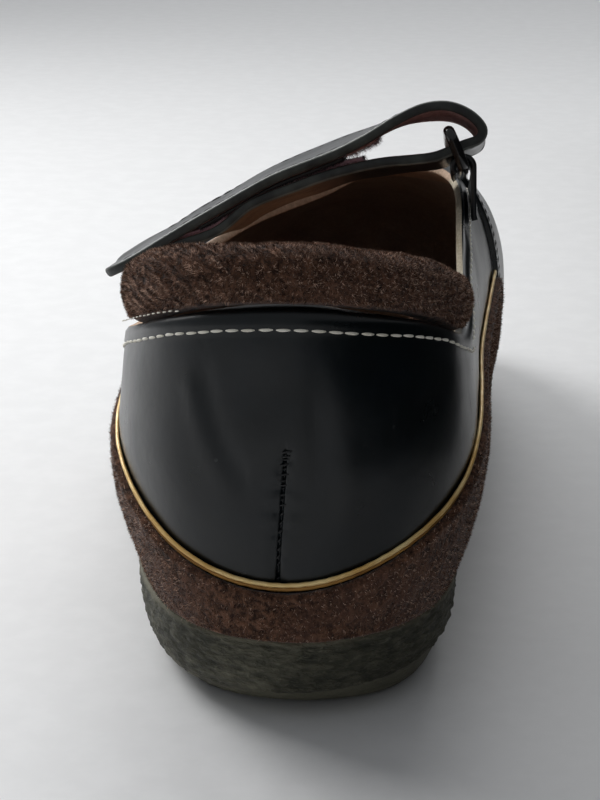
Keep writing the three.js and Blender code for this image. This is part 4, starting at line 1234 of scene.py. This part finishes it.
def makeTab():
    hole = ring["wire"] / 2 + shoe["gap"] * 1.3
    thick = ring["tabThick"]
    rim = hole + thick
    side = np.linspace(-ring["tabWidth"] / 2, ring["tabWidth"] / 2, 40)
    rows = []
    for s in side:
        bar = ringOuter + strapAcross * s

        def tail(up, out):
            up = np.atleast_1d(np.asarray(up, float))
            row = np.array([innerRow(bar[1], u) for u in up])
            return offLast(row, up, shoe["gap"] * 1.2 + out + 0 * up)

        top = tail(0.97, 0.0)[0]
        run = top - bar
        reach = math.hypot(run[0], run[2])
        first = math.atan2(-run[2], -run[0]) - math.pi / 2 - math.asin(hole / reach)
        turns = np.linspace(first, math.radians(225), 20)

        def around(radius):
            return bar + np.stack([radius * np.cos(turns), 0 * turns, radius * np.sin(turns)], -1)

        ups = np.linspace(ring["tabFoot"], 0.97, 12)
        rows.append(np.concatenate([tail(ups, thick), around(rim), around(hole)[::-1], tail(ups[::-1], 0.0)]))
    points, faces = solidLoft(np.stack(rows))
    count = (len(side) - 1) * rows[0].shape[0]
    slots = np.concatenate([np.zeros(count), np.ones(len(faces) - count)])
    made = addMesh("ring_tab_leather", points, faces, [finish["leather"], finish["strap"]], slots)
    return ride(made, "ring_tab")


makeRing()
makeTab()
print("ring and tab made")


# Footbed: thick and cupped under the heel, thin under the toes
footbed = {"heel": 11, "ball": 5, "cup": 2.5, "rows": 22 * 8}


def makeFootbed():
    row = np.arange(footbed["rows"]) / footbed["rows"] * stations
    edge = feather(row) - outward(row) * (shoe["wall"] + 3 * shoe["gap"])
    spine = spineAt(row, 0.8)
    rings = []

    def plan(s, height):
        points = mix(spine, edge, s)
        y = points[:, 1]
        rings.append(np.concatenate([points, (soleTop(y) + height(y))[:, None]], -1))

    def cupped(s):
        def height(y):
            fore = smooth(0.25, 0.65, (y + shoe["behind"]) / shoe["length"])
            thick = mix(footbed["heel"], footbed["ball"], fore)
            return thick + footbed["cup"] * min(s, 0.95) ** 4 * (1 - foreShare(y))
        return height

    for s in np.linspace(0, 0.95, 24):
        plan(s, cupped(s))
    for drop, s in ((0.1, 0.975), (0.35, 0.993), (0.9, 1.0)):
        plan(s, lambda y, drop=drop: cupped(0.95)(y) - drop)
    for s in np.linspace(1, 0, 8):
        plan(s, lambda y: 0 * y + shoe["gap"] * 1.4)
    grid = np.stack(rings, 1)
    faces = gridFaces(grid.shape[0], grid.shape[1], True, False)
    made = weld(addMesh("footbed_top", grid.reshape(-1, 3), faces, [finish["footbed"]]))
    return ride(made, "footbed")


makeFootbed()
print("footbed made")


# Floor, light and surroundings, in metres
stage = {"floorHalf": 6, "world": 0.3, "sky": (0.93, 0.96, 1.0, 1), "card": (-0.7, 0.55, 0.15, 0.15)}
lights = {
    "sideLight": {"place": (-0.95, 0.7, 0.8), "target": (-0.37, 0.15, 0.0), "size": (0.7, 0.7),
                  "power": 2.7, "spread": 62},
    "topLight": {"place": (-0.1, 1.1, 1.0), "target": (-0.05, 0.35, 0.02), "size": (1.0, 0.8),
                 "power": 1.7, "spread": 80},
    "farLight": {"place": (0.0, 3.0, 1.6), "target": (0.0, 2.6, 0.0), "size": (3.0, 1.6),
                 "power": 16, "spread": 130},
}


def plate(name, corners, look):
    mesh = bpy.data.meshes.new(name)
    mesh.from_pydata(corners, [], [(0, 1, 2, 3)])
    mesh.materials.append(look)
    made = bpy.data.objects.new(name, mesh)
    bpy.context.scene.collection.objects.link(made)
    return made


def makeStage():
    half = stage["floorHalf"]
    pale = plainNodes(rgb(226, 226, 226), rgb(230, 230, 230), 300, 0.00002, (0.45, 0.6))
    pale = material("paleFloor", pale, Specular_IOR_Level=0.3)
    floor = plate("floor", [(-half, -half, 0), (half, -half, 0), (half, half, 0), (-half, half, 0)], pale)
    # a black card on the inner side, unseen by the camera, that the leather there mirrors
    near, far, side, tall = stage["card"]
    black = material("cardBlack", plainNodes(rgb(8, 8, 9), rgb(12, 12, 13), 60, 0.0001, (0.9, 1.0)))
    card = plate("darkCard", [(side, near, 0), (side, far, 0), (side, far, tall), (side, near, tall)], black)
    card.visible_camera = False
    world = bpy.data.worlds.new("studio")
    bpy.context.scene.world = world
    world.use_nodes = True
    back = world.node_tree.nodes["Background"]
    back.inputs[0].default_value = stage["sky"]
    back.inputs[1].default_value = stage["world"]


def softbox(name, place, target, size, power, spread):
    data = bpy.data.lights.new(name, "AREA")
    data.shape = "RECTANGLE"
    data.size, data.size_y = size
    data.energy = power
    data.spread = math.radians(spread)
    made = bpy.data.objects.new(name, data)
    made.location = place
    aim = Vector(target) - Vector(place)
    made.rotation_euler = aim.to_track_quat("-Z", "Y").to_euler()
    bpy.context.scene.collection.objects.link(made)


makeStage()
for name, light in lights.items():
    softbox(name, **light)
print("stage lit")
